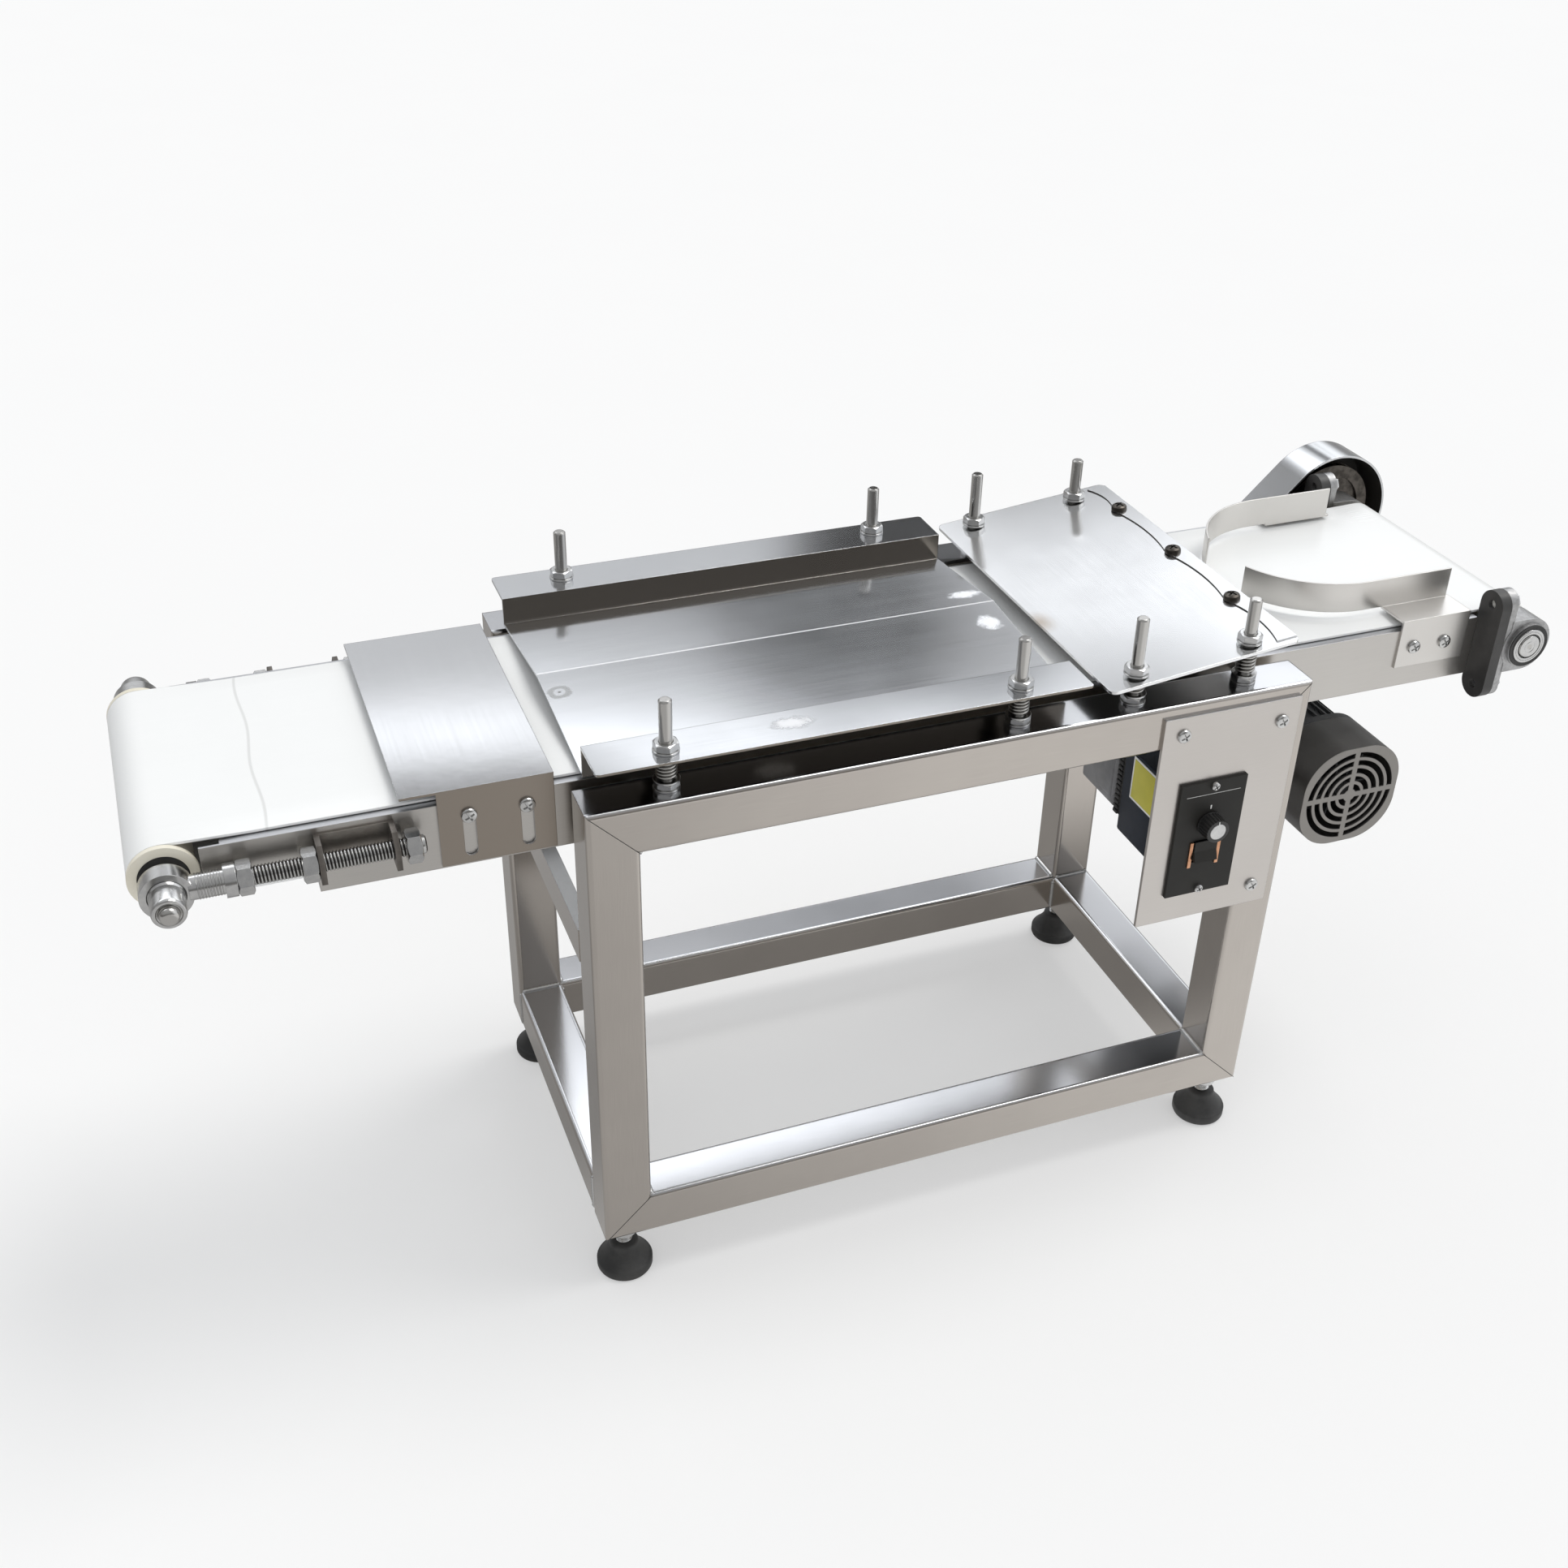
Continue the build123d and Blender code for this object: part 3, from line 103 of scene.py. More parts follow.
# %% Camera at the photograph's angle
turn, tilt, roll = radians(21.15), radians(32.74), radians(1.14)
ahead = Vector((sin(turn) * cos(tilt), cos(turn) * cos(tilt), -sin(tilt)))
level = Vector((cos(turn), -sin(turn), 0))
above = level.cross(ahead)
right = level * cos(roll) + above * sin(roll)
upward = above * cos(roll) - level * sin(roll)
camera = bpy.data.objects.new("photo_camera", bpy.data.cameras.new("photo_camera"))
camera.data.sensor_width = 36
camera.data.lens = 41.51
stance = Matrix((right, upward, -ahead)).transposed().to_4x4()
camera.matrix_world = Matrix.Translation((-0.5417, -1.1871, 1.1736)) @ stance
add(camera)
scene.camera = camera
print("camera looks along", [round(v, 3) for v in ahead])

# %% [markdown]
# Shader maths reads best as plain arithmetic. A wire stands for one output socket, and adding or
# multiplying wires places the Math nodes. A finish owns one material and makes every other node through a
# single method, so each surface below is a few lines of what it does and not of how nodes are linked.

# %% Wires and finishes
class Wire:
    def __init__(self, finish, socket):
        self.finish, self.socket = finish, socket

    def math(self, operation, first, second):
        return self.finish.node("ShaderNodeMath", {"operation": operation}, {0: first, 1: second})

    def __add__(self, other):
        return self.math("ADD", self, other)

    def __sub__(self, other):
        return self.math("SUBTRACT", self, other)

    def __rsub__(self, other):
        return self.math("SUBTRACT", other, self)

    def __mul__(self, other):
        return self.math("MULTIPLY", self, other)

    def __abs__(self):
        return self.math("ABSOLUTE", self, 0)

    __radd__, __rmul__ = __add__, __mul__


class Finish:
    def __init__(self, owner):
        owner.use_nodes = True
        self.owner, self.tree = owner, owner.node_tree
        self.tree.nodes.clear()

    def node(self, kind, settings=(), sockets=(), output=0):
        made = self.tree.nodes.new(kind)
        for name, value in dict(settings).items():
            setattr(made, name, value)
        for name, value in dict(sockets).items():
            if isinstance(value, Wire):
                self.tree.links.new(value.socket, made.inputs[name])
            else:
                made.inputs[name].default_value = value
        return Wire(self, made.outputs[output]) if made.outputs else None

    def place(self, stretch=(1, 1, 1), centre=(0, 0, 0)):
        point = self.node("ShaderNodeTexCoord", output="Object")
        offset = [-c * s for c, s in zip(centre, stretch)]
        return self.node("ShaderNodeMapping", {}, {"Vector": point, "Location": offset, "Scale": stretch})

    def split(self, vector):
        outputs = self.node("ShaderNodeSeparateXYZ", {}, {"Vector": vector}).socket.node.outputs
        return [Wire(self, socket) for socket in outputs]

    def axes(self, centre=(0, 0, 0)):
        return self.split(self.place(centre=centre))

    def grain(self, scale, detail=2, stretch=(1, 1, 1)):
        sockets = {"Vector": self.place(stretch), "Scale": scale, "Detail": detail, "Roughness": 0.55}
        return self.node("ShaderNodeTexNoise", {}, sockets)

    def facing(self, axis):
        return self.split(self.node("ShaderNodeTexCoord", output="Normal"))[axis]

    def ray(self, kind):
        return self.node("ShaderNodeLightPath", output=kind)

    def ease(self, value, low, high):
        sockets = {"Value": value, "From Min": low, "From Max": high}
        return self.node("ShaderNodeMapRange", {"interpolation_type": "SMOOTHSTEP"}, sockets)

    def tint(self, share, base, other):
        sockets = {0: share, 6: base, 7: other}
        return self.node("ShaderNodeMix", {"data_type": "RGBA"}, sockets, 2)

    def uneven(self, noise, tone, other):
        return self.tint(self.ease(noise, 0.35, 0.7), tone, other)

    def surface(self, colour, rough, height=None, depth=0.0002, edge=0.0005, **constants):
        normal = self.node("ShaderNodeBevel", {"samples": 4}, {"Radius": edge})
        if height is not None:
            sockets = {"Height": height, "Distance": depth, "Strength": 1.0, "Normal": normal}
            normal = self.node("ShaderNodeBump", {}, sockets)
        sockets = {"Base Color": colour, "Roughness": rough, "Normal": normal}
        sockets.update({name.replace("_", " "): value for name, value in constants.items()})
        shader = self.node("ShaderNodeBsdfPrincipled", {}, sockets)
        self.node("ShaderNodeOutputMaterial", {}, {"Surface": shader})
        return self.owner


def new_finish(name):
    return Finish(bpy.data.materials.new(name))


def rgb(red, green, blue):
    return (red, green, blue, 1)


print("finish tools ready")

# %% [markdown]
# Tube, sheet and rails are brushed stainless. The belt sander leaves fine lines along each piece, so the
# noise is stretched along one axis, and a second, broader noise clouds the sheen as handling does. Faces
# that look up are painted lighter and cooler, a painted reflection of the sky. Lines that follow a piece
# need one material for each direction.

# %% Brushed stainless, one for each direction
LONG = {"x": (0.02, 1, 1), "y": (1, 0.02, 1), "z": (1, 1, 0.02)}


def brushed_steel(name, along, dark, light, rough):
    finish = new_finish(name)
    lines = finish.grain(1600, 2, LONG[along])
    clouds = finish.grain(9, 3)
    share = finish.ease(lines * 0.4 + clouds * 0.6, 0.3, 0.7)
    # Faces that look up get a painted reflection: a lighter, cooler colour.
    level = finish.ease(finish.facing(2), 0.5, 0.9)
    colour = finish.tint(level, finish.tint(share, dark, light), rgb(0.56, 0.565, 0.58))
    sheen = rough - 0.04 + lines * 0.05 + clouds * 0.04
    return finish.surface(colour, sheen, lines, 0.000003, 0.001, Metallic=1.0)


warm_dark, warm_light = rgb(0.485, 0.45, 0.415), rgb(0.525, 0.49, 0.45)
steel_x = brushed_steel("brushed_steel_long", "x", warm_dark, warm_light, 0.16)
steel_y = brushed_steel("brushed_steel_across", "y", warm_dark, warm_light, 0.16)
steel_z = brushed_steel("brushed_steel_upright", "z", warm_dark, warm_light, 0.16)
sheet_steel = brushed_steel("sheet_steel", "x", rgb(0.55, 0.53, 0.505), rgb(0.59, 0.57, 0.54), 0.32)
panel_steel = brushed_steel("panel_steel", "x", rgb(0.58, 0.55, 0.52), rgb(0.61, 0.58, 0.55), 0.33)
print("brushed steels:", steel_x.name, steel_y.name, steel_z.name, sheet_steel.name, panel_steel.name)

# %% [markdown]
# The tray and the pressure plate touch dough, so they are polished. Real polished sheet has faint wipe
# marks and a slightly uneven flatness that bends reflections. A low, wide bump gives the flatness and a
# fine one the wiping.

# %% Polished stainless
def polished_steel(name, along, tone, rough):
    finish = new_finish(name)
    wipes = finish.grain(420, 3, LONG[along])
    smears = finish.grain(14, 4)
    colour = finish.uneven(smears, tone, rgb(*[c * 0.96 for c in tone[:3]]))
    sheen = rough + smears * 0.04 + wipes * 0.03
    return finish.surface(colour, sheen, smears + wipes * 0.05, 0.00005, 0.001, Metallic=1.0)


shaft_steel = polished_steel("shaft_steel", "y", rgb(0.54, 0.53, 0.51), 0.12)
guide_steel = polished_steel("guide_steel", "x", rgb(0.72, 0.70, 0.67), 0.27)
print("polished steels:", shaft_steel.name, guide_steel.name)

# %% [markdown]
# The tray has pale, less metallic patches near its ridge and on its front flange, and a spot weld has
# left a ring at the other end. Each is a soft spot round a point, with noise in the distance so that no
# outline is a circle. The rear half of the sheet is a little dished, which one long, shallow bump gives.
# Walls and underside get painted shade: the walls a dark warm tone, the underside near black.

# %% Moulding tray with its pale patches
finish = new_finish("tray_steel")
wipes = finish.grain(420, 3, LONG["x"])
smears = finish.grain(14, 2)
flecks = finish.grain(150, 3)


def away(finish, x, y, long=1.0, wide=1.0):
    along, deep = finish.axes(spot(x, y, 0))[:2]
    along, deep = along * (1 / long), deep * (1 / wide)
    return finish.node("ShaderNodeMath", {"operation": "SQRT"}, {0: along * along + deep * deep})


# Pale, less metallic, rougher spots round these points.
pale_patches = ((384, 32, 1.4, 0.7), (382, -20, 0.9, 1.0), (163, -139, 1.5, 0.8))
patch_share = 0
for patch in pale_patches:
    distance = away(finish, *patch) + flecks * 0.014
    patch_share = patch_share + (1 - finish.ease(distance, 0.010, 0.020))
from_weld = away(finish, 21, -18, 1.1, 1.0)
ring = 1 - finish.ease(abs(from_weld + flecks * 0.004 - 0.0085), 0.001, 0.0035)
dot = 1 - finish.ease(from_weld, 0.0006, 0.0016)
# Walls and the underside are painted dark: painted shade.
wall_painted_shade = finish.ease(abs(finish.facing(1)), 0.5, 0.8)
underside_painted_shade = finish.ease(0 - finish.facing(2), 0.4, 0.8)
colour = finish.uneven(smears, rgb(0.66, 0.67, 0.685), rgb(0.635, 0.645, 0.66))
colour = finish.tint(wall_painted_shade, colour, rgb(0.27, 0.245, 0.215))
colour = finish.tint(underside_painted_shade, colour, rgb(0.07, 0.066, 0.062))
colour = finish.tint(ring * 0.7 + dot * 0.8, colour, rgb(0.20, 0.20, 0.19))
behind_ridge = finish.axes(spot(0, 10, 0))[1]
# A thin white, less metallic line along the ridge is a painted highlight.
crest = 1 - finish.ease(abs(behind_ridge), 0.0005, 0.0014)
colour = finish.tint(patch_share * 0.85 + crest * 0.9, colour, rgb(0.92, 0.93, 0.95))
rear_half = finish.node("ShaderNodeClamp", {}, {"Value": behind_ridge, "Min": 0.0, "Max": 0.108})
tray_steel = finish.surface(
    colour, 0.09 + smears * 0.04 + wipes * 0.03 + patch_share * 0.3 + ring * 0.15,
    smears + rear_half * 10500, 0.00002, 0.001, Metallic=1 - patch_share * 0.8 - crest * 0.7,
)
print("tray finish:", tray_steel.name)

# %% [markdown]
# The exit cover was polished on top only. Its folded sides are rougher and painted dark and warm,
# a painted shade, so one finish has two faces, and the direction a face looks decides which it gets.

# %% Exit cover, bright on top and dull on its sides
finish = new_finish("cover_steel")
wipes = finish.grain(420, 3, LONG["y"])
smears = finish.grain(14, 4)
# The side faces are painted dark and warm: painted shade.
side_painted_shade = finish.ease(abs(finish.facing(1)), 0.4, 0.8)
colour = finish.tint(side_painted_shade, rgb(0.63, 0.635, 0.645), rgb(0.33, 0.29, 0.25))
sheen = 0.06 + smears * 0.03 + wipes * 0.03 + side_painted_shade * 0.2
cover_steel = finish.surface(colour, sheen, smears + wipes * 0.05, 0.00004, 0.0008, Metallic=1.0)
print("cover finish:", cover_steel.name)

# %% [markdown]
# The chain guard is a bent strip, shiny outside and painted near black inside, a painted shade. A face on
# the inside looks towards the guard's own centre, so the dot product of its direction and its place from
# the centre is negative.

# %% Chain guard, bright outside with painted shade inside
finish = new_finish("guard_steel")
inner_noise = finish.grain(60, 4)
wipes = finish.grain(420, 3, LONG["y"])
low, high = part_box("chain_guard")
from_middle = finish.place(centre=(low + high) / 2)
normal = finish.node("ShaderNodeTexCoord", output="Normal")
inward = finish.node(
    "ShaderNodeVectorMath", {"operation": "DOT_PRODUCT"}, {0: from_middle, 1: normal}, "Value"
)
# The inside is painted near black and made rough and dull: painted shade.
inside_painted_shade = 1 - finish.ease(inward + inner_noise * 0.004, -0.002, 0.004)
colour = finish.tint(inside_painted_shade, rgb(0.60, 0.61, 0.62), rgb(0.030, 0.027, 0.024))
guard_steel = finish.surface(
    colour, 0.13 + wipes * 0.04 + inside_painted_shade * 0.3, inner_noise * inside_painted_shade + wipes * 0.05, 0.00006, 0.001,
    Metallic=1 - inside_painted_shade * 0.9,
)
print("guard finish:", guard_steel.name)

# %% [markdown]
# The pressure plate is polished too, and it carries a straw-brown heat mark near its left edge where it
# was welded. Its underside is painted dark, a painted shade. The wear strip on it is the same sheet, and
# only its cut edge, painted dark as a painted shade, shows where it ends. The heads of its screws are
# blackened.

# %% Pressure plate with its heat mark, and the wear strip
def plate_sheet(name, tone, other):
    finish = new_finish(name)
    wipes = finish.grain(420, 3, LONG["y"])
    smears = finish.grain(11, 4)
    sheen = 0.12 + smears * 0.06 + wipes * 0.04
    return finish, smears, finish.uneven(smears, tone, other), sheen, smears + wipes * 0.02


finish, smears, colour, sheen, height = plate_sheet(
    "plate_steel", rgb(0.90, 0.905, 0.91), rgb(0.86, 0.865, 0.87)
)
heat = away(finish, 419, -38, 1.0, 1.6) + smears * 0.006
mark = 1 - finish.ease(heat, 0.003, 0.018)
# The underside is painted dark: painted shade.
underside_painted_shade = finish.ease(0 - finish.facing(2), 0.4, 0.8)
colour = finish.tint(mark * 0.55, colour, rgb(0.42, 0.29, 0.16))
colour = finish.tint(underside_painted_shade, colour, rgb(0.20, 0.19, 0.18))
plate_steel = finish.surface(colour, sheen, height, 0.00003, 0.001, Metallic=1.0)

finish, smears, colour, sheen, height = plate_sheet(
    "strip_steel", rgb(0.88, 0.885, 0.89), rgb(0.84, 0.845, 0.85)
)
# The strip's left-facing edge is painted dark: painted shade.
edge_painted_shade = finish.ease(0 - finish.facing(0), 0.3, 0.6)
heads = 0
for y in strip_screw_y:
    heads = heads + (1 - finish.ease(away(finish, strip_screw_x, y), 0.0066, 0.0069))
colour = finish.tint(edge_painted_shade, colour, rgb(0.04, 0.035, 0.03))
colour = finish.tint(heads, colour, rgb(0.05, 0.05, 0.052))
strip_steel = finish.surface(
    colour, sheen + edge_painted_shade * 0.4, height, 0.00003, 0.0001, Metallic=1 - edge_painted_shade * 0.8
)
print("plate finishes:", plate_steel.name, strip_steel.name)

# %% [markdown]
# Nuts, rods, rod ends and springs are zinc plated: bright, a little blue, and blotchy where the plating
# bath thinned. Small pieces show little of a pattern, so the noise is fine and its contrast low.

# %% Zinc plate, cast metal and painted metal
def plated(name, tone, other, rough, scale=160, metallic=1.0, depth=0.00004):
    finish = new_finish(name)
    blotches = finish.grain(scale, 4)
    pits = finish.grain(scale * 9, 2)
    colour = finish.tint(finish.ease(blotches, 0.35, 0.68), tone, other)
    sheen = rough - 0.03 + blotches * 0.06
    return finish.surface(colour, sheen, pits, depth, 0.0005, Metallic=metallic)


zinc = plated("zinc_plate", rgb(0.62, 0.62, 0.61), rgb(0.55, 0.55, 0.55), 0.2, 160, 1.0, 0.00001)
spring_steel = plated("spring_steel", rgb(0.52, 0.51, 0.49), rgb(0.46, 0.45, 0.43), 0.24, 160, 1.0, 0.00001)
cast_alloy = plated("cast_alloy", rgb(0.46, 0.46, 0.46), rgb(0.37, 0.37, 0.37), 0.36, 300, 1.0, 0.0002)
chain_steel = plated("oiled_chain", rgb(0.10, 0.09, 0.08), rgb(0.05, 0.045, 0.04), 0.34)
motor_paint = plated(
    "motor_paint", rgb(0.045, 0.046, 0.048), rgb(0.030, 0.031, 0.033), 0.46, 220, 0.0, 0.0001
)
gear_paint = plated(
    "gearbox_paint", rgb(0.10, 0.10, 0.105), rgb(0.075, 0.075, 0.08), 0.42, 220, 0.0, 0.0001
)
print("plated and painted metals:", zinc.name, cast_alloy.name, motor_paint.name, gear_paint.name)

# %% [markdown]
# The tension rods are coloured dark at the bottom of each thread and bright on its crests, and rougher
# where dark. How far a point is from the rod's middle says how deep in the groove it is. The brackets that
# hold the rods were welded on, with brown heat colours, and are coloured dark round both ears.

# %% Threads dark in their grooves, and burnt brackets
def thread_finish(name, root, crest):
    finish = new_finish(name)
    blotches = finish.grain(160, 4)
    deep, rise = finish.axes(spot(0, 0, axis_z))[1:]
    off = abs(deep) - rod_y / 1000
    depth = finish.ease(off * off + rise * rise, (root / 1000) ** 2, (crest / 1000) ** 2)
    # Dark at the bottom of the groove, bright on the crest.
    colour = finish.tint(depth, rgb(0.07, 0.065, 0.06), rgb(0.66, 0.66, 0.65))
    return finish.surface(colour, 0.2 + blotches * 0.06 + (1 - depth) * 0.2, None, 0, 0.0003, Metallic=1.0)


rod_thread = thread_finish("rod_thread", 5.9, 6.8)
shank_thread = thread_finish("shank_thread", 8.9, 9.4)
burnt = new_finish("burnt_steel")
bracket_mottle = burnt.grain(70, 5)
along = burnt.axes(spot(-152.75, 0, 0))[0]
# Coloured dark round both ears.
near_ear = 1 - burnt.ease(abs(abs(along) - 0.0268) + bracket_mottle * 0.016, 0.006, 0.02)
colour = burnt.tint(burnt.ease(bracket_mottle, 0.3, 0.7), rgb(0.40, 0.375, 0.345), rgb(0.32, 0.29, 0.26))
colour = burnt.tint(near_ear * 0.85, colour, rgb(0.045, 0.038, 0.032))
burnt_steel = burnt.surface(colour, 0.3 + bracket_mottle * 0.1, bracket_mottle, 0.0001, 0.0006, Metallic=1 - near_ear * 0.4)
print("thread and bracket finishes:", rod_thread.name, shank_thread.name, burnt_steel.name)

# %% [markdown]
# The fan cowl is charcoal along its sides, and its pierced front is rubbed back to bare grey metal. As on
# the cover, the direction of a face picks the finish.

# %% Fan cowl
finish = new_finish("cowl_paint")
rub = finish.grain(90, 4)
fine = finish.grain(1300, 2)
front_face = finish.ease(0 - finish.facing(1), 0.6, 0.9)
painted = finish.tint(rub, rgb(0.070, 0.066, 0.062), rgb(0.090, 0.086, 0.082))
bare_metal = finish.tint(rub, rgb(0.24, 0.228, 0.214), rgb(0.29, 0.278, 0.262))
cowl_paint = finish.surface(
    finish.tint(front_face, painted, bare_metal), 0.32 + rub * 0.08, fine, 0.00003, 0.0012,
    Metallic=front_face * 0.6 + 0.3,
)
print("cowl finish:", cowl_paint.name)

# %% [markdown]
# Plastics and rubber scatter light at the surface, so they are not metallic. A fine bump is the moulding
# texture, and slow noise in colour and roughness is dust and handling.

# %% Plastics, rubber and paint
def moulded(name, tone, other, rough, pebble=1400, depth=0.00005, **constants):
    finish = new_finish(name)
    dust = finish.grain(38, 4)
    texture = finish.grain(pebble, 2)
    colour = finish.uneven(dust, tone, other)
    return finish.surface(colour, rough - 0.05 + dust * 0.12, texture, depth, 0.0006, **constants)


bar_black = moulded("bar_black", rgb(0.034, 0.033, 0.032), rgb(0.052, 0.050, 0.048), 0.42, 900, 0.00008)
face_black = moulded(
    "face_black", rgb(0.018, 0.017, 0.015), rgb(0.024, 0.023, 0.020), 0.55, Specular_IOR_Level=0.3
)
knob_black = moulded("knob_black", rgb(0.016, 0.016, 0.016), rgb(0.028, 0.027, 0.026), 0.36)
rubber_black = moulded(
    "rubber_black", rgb(0.022, 0.022, 0.022), rgb(0.050, 0.049, 0.047), 0.55, 700, 0.0001
)
cream = moulded("roller_cream", rgb(0.86, 0.82, 0.70), rgb(0.80, 0.75, 0.62), 0.4)
navy = moulded(
    "controller_navy", rgb(0.006, 0.011, 0.022), rgb(0.008, 0.014, 0.027), 0.45, Specular_IOR_Level=0.25
)
terminal_grey = moulded("terminal_grey", rgb(0.16, 0.16, 0.165), rgb(0.12, 0.12, 0.125), 0.24)
label_yellow = moulded("label_yellow", rgb(0.58, 0.53, 0.055), rgb(0.52, 0.48, 0.05), 0.45)
label_white = moulded("label_white", rgb(0.80, 0.80, 0.78), rgb(0.72, 0.72, 0.70), 0.45)
copper = plated("copper", rgb(0.66, 0.36, 0.22), rgb(0.52, 0.27, 0.16), 0.3)
dark_gap = moulded("dark_seam", rgb(0.05, 0.047, 0.043), rgb(0.08, 0.075, 0.07), 0.6)
print("plastics and rubber:", bar_black.name, face_black.name, cream.name, navy.name)

# %% [markdown]
# The belt is white food-grade plastic on cloth. Its surface is smooth with a slight gloss, has faint
# lines of wear along the travel, and one wavy grey splice across it where the ends were joined. The
# splice is the distance to a line across the belt, with a sine in it, and it shows only on the upper run.

# %% Belt with its splice
finish = new_finish("belt_white")
lines = finish.grain(260, 3, LONG["x"])
stains = finish.grain(7, 4)
cloth = finish.grain(1500, 2)
along, deep, rise = finish.axes(spot(-208.5, 0, 470))
wave = finish.node("ShaderNodeMath", {"operation": "SINE"}, {0: deep * 55})
gap = abs(along - deep * 0.011 - wave * 0.0016)
splice = (1 - finish.ease(gap, 0.0004, 0.0016)) * finish.ease(rise, 0, 0.001)
patch_share = finish.ease(stains * 0.8 + lines * 0.2, 0.35, 0.7)
aged = finish.tint(patch_share, rgb(0.915, 0.925, 0.92), rgb(0.895, 0.905, 0.90))
colour = finish.tint(splice * 0.4, aged, rgb(0.50, 0.50, 0.49))
sheen = 0.22 + stains * 0.06 + lines * 0.02
belt_white = finish.surface(colour, sheen, cloth * 0.3 - splice, 0.00004, 0.0008)
print("belt finish:", belt_white.name)

# %% [markdown]
# Each node that keeps its own shape gets its finish now. The imported mesh already has a slot, so putting
# the material there is enough, and nothing about the shape is touched.

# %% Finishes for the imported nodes
wearing = {
    steel_x: ["top_rail_front", "top_rail_rear", "bottom_rail_front", "bottom_rail_rear"],
    steel_y: ["bottom_rail_left", "bottom_rail_right", "side_stretchers"],
    steel_z: ["leg_front_left", "leg_rear_left", "leg_front_right", "leg_rear_right"],
    sheet_steel: ["bed_side_front", "bed_side_rear", "slider_deck", "bed_spacers", "motor_plate"],
    burnt_steel: ["tension_brackets"],
    guide_steel: ["guide_front", "guide_rear"],
    guard_steel: ["chain_guard"],
    panel_steel: ["control_panel"],
    tray_steel: ["moulding_tray"],
    plate_steel: ["pressure_plate"],
    strip_steel: ["wear_strip"],
    cover_steel: ["exit_cover"],
    shaft_steel: ["idler_shaft", "drive_shaft", "output_shaft", "studs"],
    zinc: [
        "rod_ends", "tension_rods", "carriage_nuts", "hex_nuts_m14", "seat_nuts", "tray_nuts", "plate_nuts",
        "pan_head_screws", "hex_bolts",
    ],
    spring_steel: ["tray_springs", "plate_springs"],
    cast_alloy: ["pillow_blocks"],
    chain_steel: ["roller_chain", "roller_sprocket", "idler_bearings"],
    motor_paint: ["motor_body", "motor_rotor"],
    gear_paint: ["gearbox"],
    cowl_paint: ["fan_cowl"],
    bar_black: ["bearing_backings"],
    face_black: ["controller_face", "rocker_switch"],
    knob_black: ["speed_knob"],
    rubber_black: ["foot_front_left", "foot_front_right", "foot_rear_left", "foot_rear_right"],
    cream: ["idler_roller", "drive_roller"],
    navy: ["controller_box"],
    belt_white: ["conveyor_belt"],
}
for material, names in wearing.items():
    for name in names:
        nodes[name].data.materials.clear()
        nodes[name].data.materials.append(material)
bare = set(nodes) - {name for names in wearing.values() for name in names}
print("finished", sum(len(names) for names in wearing.values()), "nodes, left bare:", sorted(bare))

# %% [markdown]
# A new piece is shaped in the drawing's millimetres and then placed. Its faces point outwards, faces that
# meet gently are shaded smooth, and it rides on the body that carries the real one.

# %% Finishing a new piece
MERGE = 0.0005


def as_mesh(bm, name):
    mesh = bpy.data.meshes.new(name)
    bm.to_mesh(mesh)
    bm.free()
    return mesh


def finished(bm, name, body, slot, material, stands_for=(), smooth=40):
    bmesh.ops.remove_doubles(bm, verts=bm.verts, dist=MERGE)
    bmesh.ops.recalc_face_normals(bm, faces=bm.faces)
    bmesh.ops.transform(bm, matrix=drawing_to_frame, verts=bm.verts)
    mesh = as_mesh(bm, name)
    for face in mesh.polygons:
        face.use_smooth = True
    mesh.set_sharp_from_angle(angle=radians(smooth))
    mesh.materials.append(material)
    piece = bpy.data.objects.new(name, mesh)
    add(piece)
    if body:
        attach(piece, body)
    if stands_for:
        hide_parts(*stands_for)
    print(name, "has", len(mesh.polygons), "faces")
    return piece


# %% [markdown]
# Most small parts of a machine are turned on a lathe: rods, rings, pads. In Blender that is a profile
# spun about an axis, which climbs while it turns if a thread is wanted. The profile is a list of heights
# and radii, drawn upright, and then laid along the axis it needs.

# %% Turned shapes
LAY = {
    "x": Matrix.Rotation(pi / 2, 4, "Y"),
    "y": Matrix.Rotation(-pi / 2, 4, "X"),
    "-y": Matrix.Rotation(pi / 2, 4, "X"),
    "z": Matrix.Identity(4),
}


def lay(bm, verts, axis, centre):
    bmesh.ops.transform(bm, matrix=Matrix.Translation(centre) @ LAY[axis], verts=verts)


def turned(bm, profile, axis="z", centre=(0, 0, 0), steps=32, climb=0):
    rail = [bm.verts.new((radius, 0, height)) for height, radius in profile]
    line = [bm.edges.new(pair) for pair in zip(rail, rail[1:])]
    before = set(bm.verts) - set(rail)
    bmesh.ops.spin(
        bm, geom=rail + line, cent=(0, 0, 0), axis=(0, 0, 1), dvec=(0, 0, climb / steps), angle=2 * pi,
        steps=steps, use_merge=not climb,
    )
    bmesh.ops.remove_doubles(bm, verts=[v for v in bm.verts if v not in before], dist=MERGE)
    if climb:
        ends = [e for e in bm.edges if e.is_boundary and e.verts[0] not in before]
        bmesh.ops.holes_fill(bm, edges=ends, sides=0)
    lay(bm, [v for v in bm.verts if v not in before], axis, centre)
    return bm


print("lathe ready")

# %% [markdown]
# A hexagon nut is a prism whose corners are cut back by a cone, which gives the curved edge on each flat.
# A bevel would cut every side straight, so the prism is crossed with a turned barrel, and a chamfered
# bore is taken out of it.

